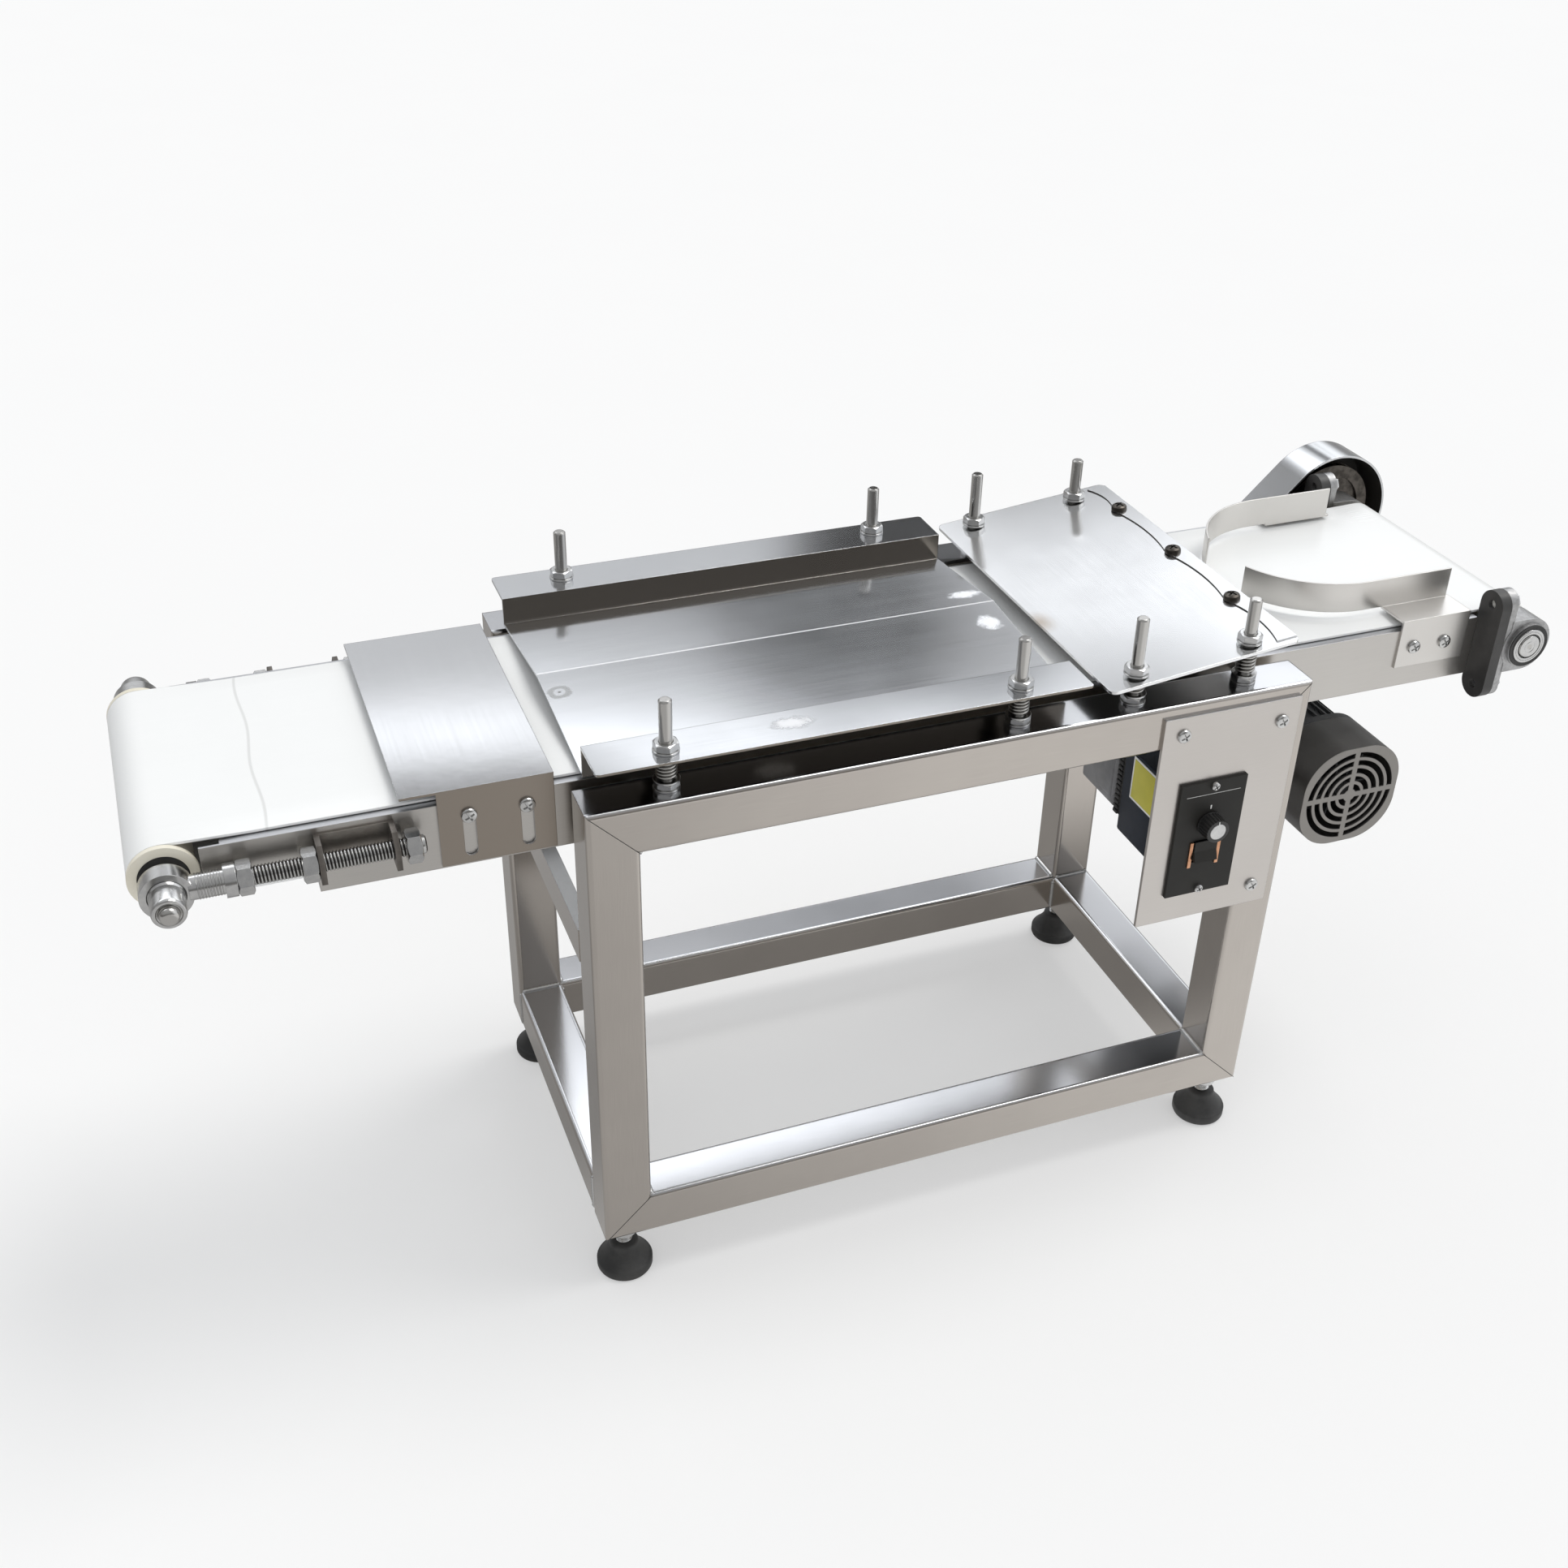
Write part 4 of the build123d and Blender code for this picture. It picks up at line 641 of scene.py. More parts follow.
# %% Hexagon nuts
def carved(solid, tool, operation):
    pair = []
    for bm, name in ((solid, "blank"), (tool, "cutter")):
        bmesh.ops.recalc_face_normals(bm, faces=bm.faces)
        pair.append(bpy.data.objects.new(name, as_mesh(bm, name)))
        add(pair[-1])
    cut = pair[0].modifiers.new("cut", "BOOLEAN")
    cut.operation, cut.object, cut.solver = operation, pair[1], "EXACT"
    shaped = pair[0].evaluated_get(bpy.context.evaluated_depsgraph_get())
    result = bmesh.new()
    result.from_mesh(shaped.to_mesh())
    for item in pair:
        mesh = item.data
        bpy.data.objects.remove(item)
        bpy.data.meshes.remove(mesh)
    return result


def hexagon_blank(flats, height):
    bm = bmesh.new()
    bmesh.ops.create_circle(bm, cap_ends=True, segments=6, radius=flats / sqrt(3))
    raised = bmesh.ops.extrude_face_region(bm, geom=list(bm.faces))
    top = [g for g in raised["geom"] if isinstance(g, bmesh.types.BMVert)]
    bmesh.ops.translate(bm, verts=top, vec=(0, 0, height))
    return bm


def nut(flats, height, bore):
    corner, seat = flats / sqrt(3) + 0.05, flats * 0.475
    drop = (corner - seat) * tan(radians(30))
    barrel = [(0, 0), (0, seat), (drop, corner), (height - drop, corner), (height, seat), (height, 0)]
    barrel = turned(bmesh.new(), barrel, steps=48)
    shaped = carved(hexagon_blank(flats, height), barrel, "INTERSECT")
    if bore:
        wide = bore * 1.12
        hole = [(-1, 0), (-1, wide + 1), (wide - bore, bore)]
        hole += [(height - wide + bore, bore), (height + 1, wide + 1), (height + 1, 0)]
        shaped = carved(shaped, turned(bmesh.new(), hole, steps=36), "DIFFERENCE")
    return as_mesh(shaped, "nut")


def copies(template, places):
    bm = bmesh.new()
    for axis, centre in places:
        before = set(bm.verts)
        bm.from_mesh(template)
        lay(bm, [v for v in bm.verts if v not in before], axis, centre)
    return bm


big_nut = nut(22, 11, 7.05)
print("the nut template has", len(big_nut.polygons), "faces")

# %% [markdown]
# The large nuts sit on the tension rods and on the feet, and the idler's axle has round nuts, turned like
# the rest of it. Those that move with the tension carriage are one piece, and those on the stand another.

# %% Large nuts
carriage = copies(big_nut, [("x", (left, s * rod_y, axis_z)) for left in (-235, -120.5) for s in sides])
round_nut = [(0, 7.1), (0, 12.2), (15, 12), (16.6, 11.7), (17.6, 11.1), (18, 10.2)]
round_nut += [(18, 9), (17.2, 8.4), (16.8, 7.1), (0, 7.1)]
for axis, s in (("-y", -1), ("y", 1)):
    turned(carriage, round_nut, axis, (idler_x, s * 140.5, axis_z), 48)
finished(carriage, "carriage_hex_nuts", "tension_carriage", "zinc_steel", zinc, ["carriage_nuts"], 30)
places = [("z", (x, s * rail_y, 39)) for x in leg_x for s in sides]
places += [("x", (-191.5, s * rod_y, axis_z)) for s in sides]
finished(copies(big_nut, places), "stand_hex_nuts", "frame", "zinc_steel", zinc, ["hex_nuts_m14"], 30)

# %% [markdown]
# A thread is a groove that climbs one pitch in each turn. Spinning a saw-tooth profile with a small step
# along the axis makes a true helix. Rings would look alike from afar, but they show at the ends and in
# close views.

# %% Threaded lengths
def threaded(bm, start, length, radius, pitch, axis, centre):
    saw = []
    for i in range(int(length / pitch)):
        low = start + i * pitch
        saw += [(low, radius - 0.5 * pitch), (low + 0.42 * pitch, radius), (low + 0.58 * pitch, radius)]
    return turned(bm, saw, axis, centre, 24, pitch)


rods = bmesh.new()
for s in sides:
    centre = (0, s * rod_y, axis_z)
    threaded(rods, -241, 130, 6.95, 2.4, "x", centre)
    core = [(-262, 0), (-262, 6.9), (-240, 6.9), (-240, 5.7), (-110, 5.7)]
    core += [(-109.5, 6.9), (-107.2, 6.9), (-106, 5.4), (-106, 0)]
    turned(rods, core, "x", centre)
finished(rods, "threaded_tension_rods", "tension_carriage", "zinc_steel", rod_thread, ["tension_rods"], 35)
shanks = bmesh.new()
for s in sides:
    threaded(shanks, -263, 18, 9.4, 2.0, "x", (0, s * rod_y, axis_z))
finished(shanks, "rod_end_threads", "tension_carriage", "zinc_steel", shank_thread, (), 35)

# %% [markdown]
# Each foot is a black rubber-faced pad with a stepped skirt, on a threaded stem that goes up into the
# leg. The pad and the stem are different materials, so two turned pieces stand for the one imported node.

# %% Levelling feet
pad = [(0, 0), (0, 21.5), (1, 22.8), (2.5, 23.5), (8.4, 23.5), (9.4, 23), (10, 21.8), (11.5, 20.6)]
pad += [(17, 16.4), (22, 13.2), (24.5, 12.2), (26.6, 12), (27.6, 11.4), (28, 10.4), (28, 0)]
for end, s in (("front_", -1), ("rear_", 1)):
    for hand, x in zip(("left", "right"), leg_x):
        foot, centre = end + hand, (x, s * rail_y, 0)
        body = "foot_" + foot
        rubber = turned(bmesh.new(), pad, "z", centre, 48)
        finished(rubber, "pad_" + foot, body, "black_plastic", rubber_black, [body])
        top = 1000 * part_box(body)[1].z
        stem = threaded(bmesh.new(), 27, top - 30, 6.95, 2.4, "z", centre)
        core = [(12, 0), (12, 5.7), (top - 3, 5.7), (top - 1.5, 5.5), (top, 4.4), (top, 0)]
        turned(stem, core, "z", centre)
        finished(stem, "stem_" + foot, body, "zinc_steel", zinc, (), 35)

# %% [markdown]
# Springs under the tray and the plate push them up against their nuts. A round wire is spun along a
# helix.

# %% Springs
def coil(bm, x, y, low, high, turns, radius, wire):
    start = bmesh.ops.create_circle(bm, segments=8, radius=wire)["verts"]
    bmesh.ops.rotate(bm, verts=start, cent=(0, 0, 0), matrix=Matrix.Rotation(pi / 2, 3, "X"))
    bmesh.ops.translate(bm, verts=start, vec=(radius, 0, low + wire))
    before = set(bm.verts) - set(start)
    ring = [e for e in bm.edges if e.verts[0] in start]
    steps = int(turns * 28)
    lift = (high - low - 2 * wire) / steps
    bmesh.ops.spin(
        bm, geom=start + ring, cent=(0, 0, 0), axis=(0, 0, 1), dvec=(0, 0, lift), angle=2 * pi * turns,
        steps=steps,
    )
    ends = [e for e in bm.edges if e.is_boundary and e.verts[0] not in before]
    bmesh.ops.holes_fill(bm, edges=ends, sides=0)
    made = [v for v in bm.verts if v not in before]
    bmesh.ops.translate(bm, verts=made, vec=(x, y, 0))


def springs(name, xs, low, high, turns, stands_for):
    bm = bmesh.new()
    for x in xs:
        for s in sides:
            coil(bm, x, s * rail_y, low, high, turns, 6.8, 1.2)
    piece = finished(bm, name, None, "zinc_steel", spring_steel, [stands_for], 50)
    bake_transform(piece)


seat_top = 478.3
tray_under, plate_under = (1000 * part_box(name)[1].z for name in ("tray_springs", "plate_springs"))
left, right = plate_stud_x
springs("tray_coil_springs", tray_stud_x, seat_top, tray_under, 6.5, "tray_springs")
springs("plate_coil_springs_left", (left,), seat_top, 490.2, 3.5, "plate_springs")
springs("plate_coil_springs_right", (right,), seat_top, plate_under, 6.5, "plate_springs")

# %% [markdown]
# The pan-head screws have a cross recess, which is what makes them read as screws. The head is turned and
# the cross is a small four-armed tool sunk into it, the way a punch forms it.

# %% Pan-head screws with a cross recess
def pan_head(radius, height):
    dome = [(-0.4, 0), (-0.4, radius), (0.4 * height, radius), (0.7 * height, 0.9 * radius)]
    dome += [(0.9 * height, 0.66 * radius), (0.98 * height, 0.35 * radius), (height, 0)]
    head = turned(bmesh.new(), dome, steps=32)
    for long, short in ((1.25, 0.24), (0.24, 1.25)):
        tool = bmesh.new()
        size = Matrix.Diagonal((long * radius, short * radius, 1.1 * height, 1))
        bmesh.ops.create_cube(tool, size=1, matrix=Matrix.Translation((0, 0, height)) @ size)
        bmesh.ops.rotate(tool, verts=tool.verts, cent=(0, 0, 0), matrix=Matrix.Rotation(0.5, 3, "Z"))
        head = carved(head, tool, "DIFFERENCE")
    return as_mesh(head, "pan_head")


screw_head = pan_head(6, 3.4)
places = []
for toward, s in (("-y", -1), ("y", 1)):
    places += [(toward, (x, s * 119.6, 460)) for x in (-72.5, -30.5)]
    places += [(toward, (x, s * 119, 454.5)) for x in (733, 764)]
places += [("-y", (x, -168, z)) for x, z in ((482.6, 443.6), (573.3, 440), (573.3, 279))]
screws = copies(screw_head, places)
finished(screws, "cross_head_screws", "frame", "zinc_steel", zinc, ["pan_head_screws"], 30)
small_head = pan_head(3.9, 3.8)
places = [("-y", (face_x, face_y, z)) for z in (291.1, 391.9)]
finished(copies(small_head, places), "face_screws", "frame", "zinc_steel", zinc, (), 30)

# %% [markdown]
# Three blackened screws hold the wear strip on the raised edge of the pressure plate. They stand square
# to the plate, so their heads are copied in a row and then tilted with it.

# %% Wear strip screws
strip_heads = copies(pan_head(6.9, 4.6), [("z", (0, y, 0)) for y in strip_screw_y])
lean = Matrix.Translation((strip_screw_x, 0, 507.7)) @ Matrix.Rotation(radians(-6.2), 4, "Y")
bmesh.ops.transform(strip_heads, matrix=lean, verts=strip_heads.verts)
finished(strip_heads, "strip_screw_heads", "pressure_plate", "zinc_steel", chain_steel, (), 30)

# %% [markdown]
# The height nuts and washers above the tray and the plate are what a user turns, and they stand in full
# light, so they get the same chamfered nut in its smaller size with a washer under it.

# %% Height nuts and washers
washer, seat_height = 1.6, 5
small_nut, seat_nut = nut(17, 6, 5.05), nut(17, seat_height, 5.05)
rim = [(0, 5.3), (0, 9.7), (0.3, 10), (1.3, 10), (washer, 9.7), (washer, 5.3), (0, 5.3)]


def nuts_on_washers(places, template, name, body, stands_for, lid=False):
    bm = copies(template, [("z", (x, y, z + washer)) for x, y, z in places])
    for x, y, z in places:
        turned(bm, rim, "z", (x, y, z), 32)
        if lid:
            turned(bm, rim, "z", (x, y, z + washer + seat_height), 32)
    return finished(bm, name, body, "zinc_steel", zinc, [stands_for], 30)


def on_studs(xs, height):
    return [(x, s * rail_y, height(x)) for x in xs for s in sides]


def plate_top(x):
    return 490 + (x + 10 - 417) * 18 / 166


places = on_studs(tray_stud_x, lambda x: 501)
nuts_on_washers(places, small_nut, "tray_height_nuts", "moulding_tray", "tray_nuts")
places = on_studs(plate_stud_x, plate_top)
nuts_on_washers(places, small_nut, "plate_height_nuts", "pressure_plate", "plate_nuts")
places = on_studs(tray_stud_x + plate_stud_x, lambda x: 470)
nuts_on_washers(places, seat_nut, "stud_seat_nuts", "frame", "seat_nuts", lid=True)

# %% [markdown]
# The tubes are joined by welds. Inside each corner a bead was left as laid, with the ripples that each
# pause of the torch makes, and on the front it was ground to a thin line. A bead is a ring that is pulled
# along and swells and narrows as it goes.

# %% Weld beads and ground seams
def bead(bm, start, end, radius, ripple, swell=0.12):
    start, end = Vector(start), Vector(end)
    count = max(2, int((end - start).length / ripple))
    aim = (end - start).to_track_quat("Z", "Y").to_matrix().to_4x4()
    ring = bmesh.ops.create_circle(bm, cap_ends=True, segments=8, radius=radius * 0.5)["verts"]
    bmesh.ops.transform(bm, matrix=Matrix.Translation(start) @ aim, verts=ring)
    face = next(f for f in ring[0].link_faces)
    for i in range(count + 1):
        grown = bmesh.ops.extrude_face_region(bm, geom=[face])["geom"]
        if i:
            bm.faces.remove(face)
        face = next(g for g in grown if isinstance(g, bmesh.types.BMFace))
        last = i == count
        bmesh.ops.translate(bm, verts=face.verts, vec=(end - start) / (count + 1))
        middle = face.calc_center_median()
        size = radius * (0.45 if last else 1 + swell * (1 if i % 2 else -1))
        now = (face.verts[0].co - middle).length
        bmesh.ops.scale(
            bm, verts=face.verts, vec=Vector((1, 1, 1)) * (size / now), space=Matrix.Translation(-middle)
        )


ripple, inner_x, inner_y, inner_z = 1.6, (40, 560), 125, (90, 430)
beads = bmesh.new()
for x in inner_x:
    for z in inner_z:
        for y in (-rail_y, rail_y):
            bead(beads, (x, y - 18, z), (x, y + 18, z), 2.6, ripple)
for y in (-inner_y, inner_y):
    for x in inner_x:
        bead(beads, (x, y, 54), (x, y, 86), 2.4, ripple)
    for x in (1, 39, 561, 599):
        bead(beads, (x, y, 52), (x, y, 88), 2.0, ripple)
    for x in (2, 562):
        bead(beads, (x, y, 90), (x + 36, y, 90), 2.4, ripple)
finished(beads, "weld_beads", "frame", "stainless", zinc, (), 60)
seams = bmesh.new()
for x_out, x_in in zip((1.5, 598.5), inner_x):
    for z_out, z_in in zip((51.5, 468.5), inner_z):
        for y in (-164.95, 164.95):
            bead(seams, (x_out, y, z_out), (x_in, y, z_in), 0.3, 2.5, 0.1)
finished(seams, "ground_mitre_seams", "frame", "stainless", dark_gap, (), 60)

# %% [markdown]
# Bearings show as rings within rings: the cast housing, a black rubber seal set back a little, a bright
# inner ring, a thin black ring in the gap round the shaft as painted shade, and the end of the shaft with
# its centre hole. The seals and the shaft ends are turned pieces laid over the imported ones.

# %% Bearing seals and shaft ends
seal = [(0, 15.6), (0, 19), (0.5, 19.3), (0.9, 18.9), (0.5, 17.6), (0.7, 16.4), (0.4, 15.6), (0, 15.6)]
gap = [(0, 10.1), (0, 10.8), (0.3, 10.8), (0.3, 10.1), (0, 10.1)]
race = [(0, 11), (0, 15.5), (1.2, 15.5), (1.6, 15), (1.6, 13.6), (1.0, 13.3), (1.6, 13)]
race += [(1.6, 11.4), (0.4, 11), (0, 11)]
shaft_end = [(0, 0), (0, 9.6), (0.3, 9.6), (0.5, 9.2), (0.5, 5.4), (0.2, 5), (0.4, 4.6)]
shaft_end += [(0.4, 2.6), (0.1, 2.2), (0.1, 0)]
idler_seal = [(0, 8.2), (0, 17.2), (0.7, 17.2), (0.9, 16), (0.6, 14), (0.8, 11)]
idler_seal += [(0.5, 9), (0.5, 8.2), (0, 8.2)]
block_y = 143.9


def ring_pair(profile, name, body, slot, material, x, y, steps=48):
    bm = turned(bmesh.new(), profile, "-y", (x, -y, axis_z), steps)
    finished(turned(bm, profile, "y", (x, y, axis_z), steps), name, body, slot, material)


ring_pair(seal, "pillow_block_seals", "frame", "black_plastic", rubber_black, drive_x, block_y)
# A thin black ring in the gap between inner ring and shaft end is painted shade.
ring_pair(gap, "pillow_block_gap_shade", "frame", "black_plastic", rubber_black, drive_x, block_y)
ring_pair(race, "pillow_block_inner_rings", "drive_roller", "zinc_steel", zinc, drive_x, block_y)
turned_end = turned(bmesh.new(), shaft_end, "-y", (drive_x, -145.8, axis_z), 40)
finished(turned_end, "drive_shaft_end", "drive_roller", "zinc_steel", zinc)
ring_pair(idler_seal, "idler_bearing_seals", "idler_roller", "black_plastic", rubber_black, idler_x, 112.6)

# %% [markdown]
# The belt is wider than the deck under it, so its edges hang a little between the rollers, and that bends
# the reflections along both edges. A line across the belt is spun half round each roller and pulled along
# the two runs. Then the edge of the upper run is let down, and the sheet gets its thickness.

# %% Belt with hanging edges
belt_radius, half_width, hanging, drop, pulls = 24.3, 110, 21, 1.7, 36
from_edges = (0, 2, 6, 11, 16, hanging, 50)
across = [d - half_width for d in from_edges] + [0] + [half_width - d for d in reversed(from_edges)]
loop = bmesh.new()
line = [loop.verts.new((idler_x, y, axis_z + belt_radius)) for y in across]
strip = line + [loop.edges.new(pair) for pair in zip(line, line[1:])]
for centre, travel in ((idler_x, drive_x - idler_x), (drive_x, idler_x - drive_x)):
    strip = bmesh.ops.spin(
        loop, geom=strip, cent=(centre, 0, axis_z), axis=(0, -1, 0), angle=pi, steps=20, use_merge=False
    )["geom_last"]
    for step in range(pulls):
        edges = [g for g in strip if isinstance(g, bmesh.types.BMEdge)]
        pulled = bmesh.ops.extrude_edge_only(loop, edges=edges)["geom"]
        strip = [g for g in pulled if not isinstance(g, bmesh.types.BMFace)]
        moved = [g for g in strip if isinstance(g, bmesh.types.BMVert)]
        bmesh.ops.translate(loop, verts=moved, vec=(travel / pulls, 0, 0))
bmesh.ops.remove_doubles(loop, verts=loop.verts, dist=0.01)
for v in loop.verts:
    if v.co.z > axis_z + belt_radius - 0.1:
        from_edge = (half_width - abs(v.co.y)) / hanging
        from_roller = min(v.co.x - idler_x, drive_x - v.co.x) / 60
        v.co.z -= drop * max(0, 1 - from_edge) ** 1.3 * min(1, max(0, from_roller))
bmesh.ops.recalc_face_normals(loop, faces=loop.faces)
bmesh.ops.solidify(loop, geom=list(loop.faces), thickness=2)
belt = finished(loop, "hanging_edge_belt", None, "belt_white", belt_white, ["conveyor_belt"], 35)
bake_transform(belt)

# %% [markdown]
# The speed controller hangs behind the panel as a dark blue box with a yellow label in a white border,
# left blank here, and plugs into a grey terminal base. The box is a bevelled block, and the base gets its
# teeth by a row of small blocks set along its edge.

# %% Controller box and terminal base
def block(bm, low, high, bevel=0.0):
    low, high = Vector(low), Vector(high)
    place = Matrix.Translation((low + high) / 2) @ Matrix.Diagonal((*(high - low), 1))
    verts = bmesh.ops.create_cube(bm, size=1, matrix=place)["verts"]
    if bevel:
        edges = list({e for v in verts for e in v.link_edges})
        bmesh.ops.bevel(
            bm, geom=edges, offset=bevel, affect="EDGES", segments=2, profile=0.5, material=-1
        )


def blocks(boxes, *rest):
    bm = bmesh.new()
    for box in boxes:
        block(bm, *box)
    return finished(bm, *rest)


case = [((489, -167.9, 300), (546, -82, 385), 2.0)]
blocks(case, "controller_case", "frame", "controller_navy", navy, ["controller_box"], 35)
base = [((490, -72, 315), (537, -15, 380), 2.5), ((489.4, -66, 322), (537.6, -40, 374), 1.2)]
blocks(base, "terminal_base", "frame", "black_plastic", terminal_grey, (), 35)
tooth_pitch, tooth_height = 4.9, 3.2
teeth = [((490.2, -82, 313), (537, -71.5, 382), 0.8)]
for z in [313.5 + i * tooth_pitch for i in range(14)]:
    teeth.append(((488.4, -80.5, z), (491, -73.5, z + tooth_height), 0.7))
blocks(teeth, "terminal_teeth", "frame", "black_plastic", rubber_black, (), 35)
border = [((488.55, -138, 341), (489.05, -96, 382), 0.15)]
blocks(border, "label_border", "frame", "controller_navy", label_white, (), 35)
field = [((488.4, -136, 343), (488.9, -98, 380), 0.12)]
blocks(field, "label_field", "frame", "controller_navy", label_yellow, (), 35)

# %% [markdown]
# The knob is fluted for grip and has a bright cap with a pointer. A cone with many sides gets its flutes
# by insetting every other face and pushing it in, which is cleaner than cutting each one.

# %% Speed knob
knob = bmesh.new()
bmesh.ops.create_cone(knob, cap_ends=True, segments=48, radius1=11, radius2=10.2, depth=12)
flutes = [f for i, f in enumerate(f for f in knob.faces if len(f.verts) == 4) if i % 2]
bmesh.ops.inset_individual(knob, faces=flutes, thickness=0.12, depth=-0.45)
bmesh.ops.translate(knob, verts=knob.verts, vec=(0, 0, 6))
lay(knob, list(knob.verts), "-y", (face_x, -173.5, knob_z))
turned(knob, [(0, 11.1), (1.4, 11.1), (1.4, 9), (0, 9), (0, 11.1)], "-y", (face_x, -172, knob_z), 48)
finished(knob, "fluted_knob", "speed_knob", "black_plastic", knob_black, ["speed_knob"], 30)
cap = [(0, 0), (0, 7.2), (0.2, 7.2), (0.5, 6.8), (0.42, 5.8), (0.5, 0)]
cap = turned(bmesh.new(), cap, "-y", (face_x, -185.45, knob_z), 40)
finished(cap, "knob_cap", "speed_knob", "zinc_steel", zinc)
pointer = [((face_x - 0.4, -186, 362), (face_x + 0.4, -185.5, 365.6), 0.1)]
blocks(pointer, "knob_pointer", "speed_knob", "black_plastic", label_white)

# %% [markdown]
# Above the knob the face has one printed index stroke, with a ruled line under the top screw. Nothing is
# written. On each side of the rocker stands a copper-coloured bar, a thin bevelled block on the face.

# %% Index, ruled line and copper bars
index = ((face_x - 0.6, -171.12, 369.5), (face_x + 0.6, -170.9, 373.2))
ruled = ((493, -171.1, 384.1), (543, -170.9, 384.5))
blocks([index, ruled], "printed_strokes", "frame", "black_plastic", label_white, (), 30)
bars = [((x - 1.7, -172.4, 314), (x + 1.7, -170.5, 339), 0.5) for x in (504.6, 530.4)]
blocks(bars, "copper_bars", "frame", "black_plastic", copper, (), 35)

# %% [markdown]
# The floor is one pale sheet, large enough to have no edge in view. To the camera and in reflections it
# glows a little, which keeps it white as a studio sweep is, and most of its shade still comes from the
# light, so that the machine keeps its shadow. In reflections its glow is painted darker behind the
# machine, where no lamp reaches the real floor, and towards the left, both as painted shade.

# %% Floor
finish = new_finish("studio_floor")
mottle = finish.grain(3, 3)
colour = finish.tint(mottle, rgb(0.93, 0.93, 0.925), rgb(0.91, 0.91, 0.91))
matt = finish.node("ShaderNodeBsdfDiffuse", {}, {"Color": colour})
seen, mirror = finish.ray("Is Camera Ray"), finish.ray("Is Glossy Ray")
across, deep = finish.axes()[:2]
behind = mirror * finish.ease(deep, -0.16, 0.04)
# In reflections the glow is painted darker towards the left: painted shade.
left = mirror * (1 - finish.ease(across, -0.35, 0.38))
glow = finish.tint(left, rgb(0.94, 0.94, 0.94), rgb(0.50, 0.495, 0.49))
glow = finish.tint(behind, glow, rgb(0.26, 0.255, 0.25))
white = finish.node("ShaderNodeEmission", {}, {"Color": glow})
share = seen * 0.4 + mirror * 0.8
mixed = finish.node("ShaderNodeMixShader", {}, {0: share, 1: matt, 2: white})
finish.node("ShaderNodeOutputMaterial", {}, {"Surface": mixed})
sweep = bmesh.new()
bmesh.ops.create_grid(sweep, x_segments=8, y_segments=8, size=14)
floor_mesh = as_mesh(sweep, "floor")
floor_mesh.materials.append(finish.owner)
floor = bpy.data.objects.new("floor", floor_mesh)
add(floor)
floor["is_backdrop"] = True
print("floor of", len(floor_mesh.polygons), "faces")

# %% [markdown]
# Light comes from a broad soft lamp above on the right and from an even sky. What polished steel mirrors
# is as important as what lights it. Behind the machine the mirrored sky is a window: a low and a middle
# row of panes, a bright strip of lamps between them, a white row on top, and a dark board to the right of
# the middle. To the front it is dim, and a little brighter on the right.

# %% Light and sky
lamp = bpy.data.objects.new("soft_lamp", bpy.data.lights.new("soft_lamp", "SUN"))
lamp.data.energy, lamp.data.angle, lamp.data.color = 1.25, radians(30), (1, 0.985, 0.96)
lamp.matrix_world = Vector((0.45, 0.04, 0.89)).to_track_quat("Z", "Y").to_matrix().to_4x4()
add(lamp)
world = bpy.data.worlds.new("studio_sky")
scene.world = world
sky = Finish(world)
direction = sky.node("ShaderNodeTexCoord", output="Generated")
side, back, rise = sky.split(direction)
bearing = sky.node("ShaderNodeMath", {"operation": "ARCTAN2"}, {0: side, 1: back})
drift = sky.node("ShaderNodeTexNoise", {}, {"Vector": direction, "Scale": 3.0, "Detail": 1.0})
print("sky directions ready")

# %% [markdown]
# The panes are bands of bearing and of height, each with soft edges. The board covers the low row
# straight down and the middle row on a slant, and the strip of lamps sags a little to the right.

# %% The window in the mirrored sky
def turn_from(low, high):
    return sky.ease(bearing, radians(low), radians(high))


def row(low, full, fade, end):
    return sky.ease(rise, low, full) * (1 - sky.ease(rise, fade, end))


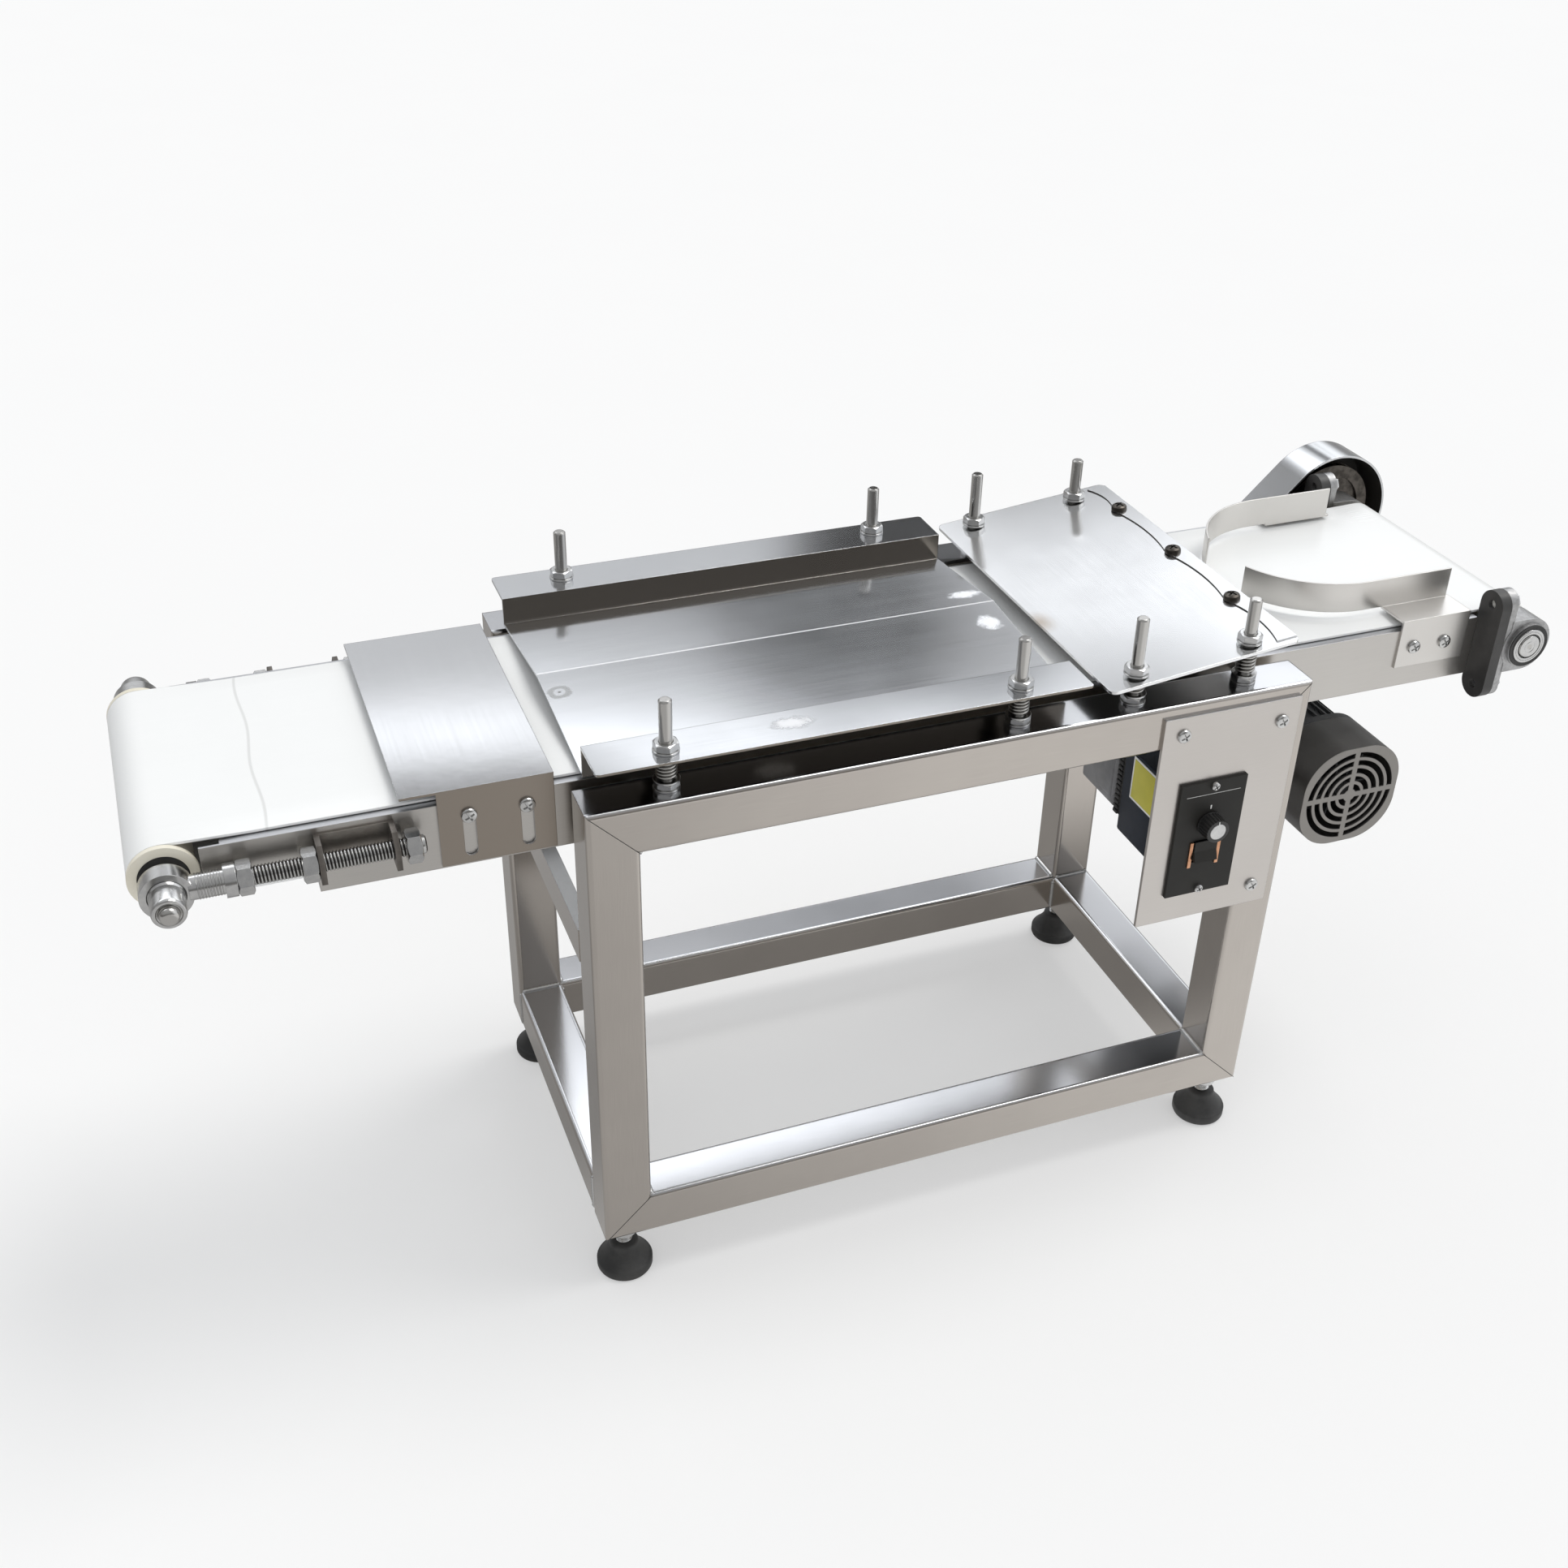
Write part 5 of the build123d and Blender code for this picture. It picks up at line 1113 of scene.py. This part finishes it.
board_end = 1 - turn_from(28.5, 31.5)
board = turn_from(20.5, 22.5) * board_end
slant = bearing - (rise - 0.62) * radians(92)
slanted = sky.ease(slant, radians(19.5), radians(22)) * board_end
far_right = turn_from(31, 37)
low_row, mid_row = row(0.15, 0.42, 0.497, 0.507), row(0.54, 0.565, 0.65, 0.666)
low_pane = low_row * (0.19 - board * 0.19 + far_right * 0.38)
strip_low = sky.ease(rise + turn_from(22, 28) * 0.012, 0.487 + turn_from(12, 20) * 0.015, 0.514)
strip_lamps = strip_low * (1 - sky.ease(rise - turn_from(12, 21) * 0.04, 0.519, 0.53))
mid_level = sky.ease(rise, 0.59, 0.645) * 0.13
mid_pane = mid_row * (mid_level * (1 - slanted) + far_right * 0.15)
high_pane = row(0.65, 0.666, 0.80, 0.88)
panes = low_pane + strip_lamps * 0.72 + mid_pane + high_pane * 0.95
window = panes * sky.ease(back, 0.2, 0.6) * (0.8 + drift * 0.4)
haze = sky.ease(back, -0.3, 0.6) * (1 - board) * 0.06 + sky.ease(rise, 0.7, 0.95) * 0.15
right_front = sky.ease(side, 0.35, 0.75) * (1 - sky.ease(back, 0, 0.4)) * 0.32
front_glow = (1 - sky.ease(back, -0.2, 0.3)) * row(0.2, 0.4, 0.75, 0.9) * 0.1
share = window + haze + right_front + front_glow
mirrored = sky.tint(share, rgb(0.18, 0.175, 0.17), rgb(2.5, 2.56, 2.65))
mirrored = sky.tint((low_row * board + mid_row * slanted) * 0.75, mirrored, rgb(0.03, 0.031, 0.033))
glow = sky.tint(sky.ray("Is Glossy Ray"), rgb(0.70, 0.71, 0.725), mirrored)
shown = sky.tint(sky.ray("Is Camera Ray"), glow, rgb(0.955, 0.955, 0.957))
background = sky.node("ShaderNodeBackground", {}, {"Color": shown})
sky.node("ShaderNodeOutputWorld", {}, {"Surface": background})
scene.view_settings.view_transform = "Standard"
print("soft lamp and sky are set")

# %% [markdown]
# The size of the visible pieces is printed at the end.

# %% Size, and the end
low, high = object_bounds()
print("visual box", [round(v, 4) for v in high - low], "m")
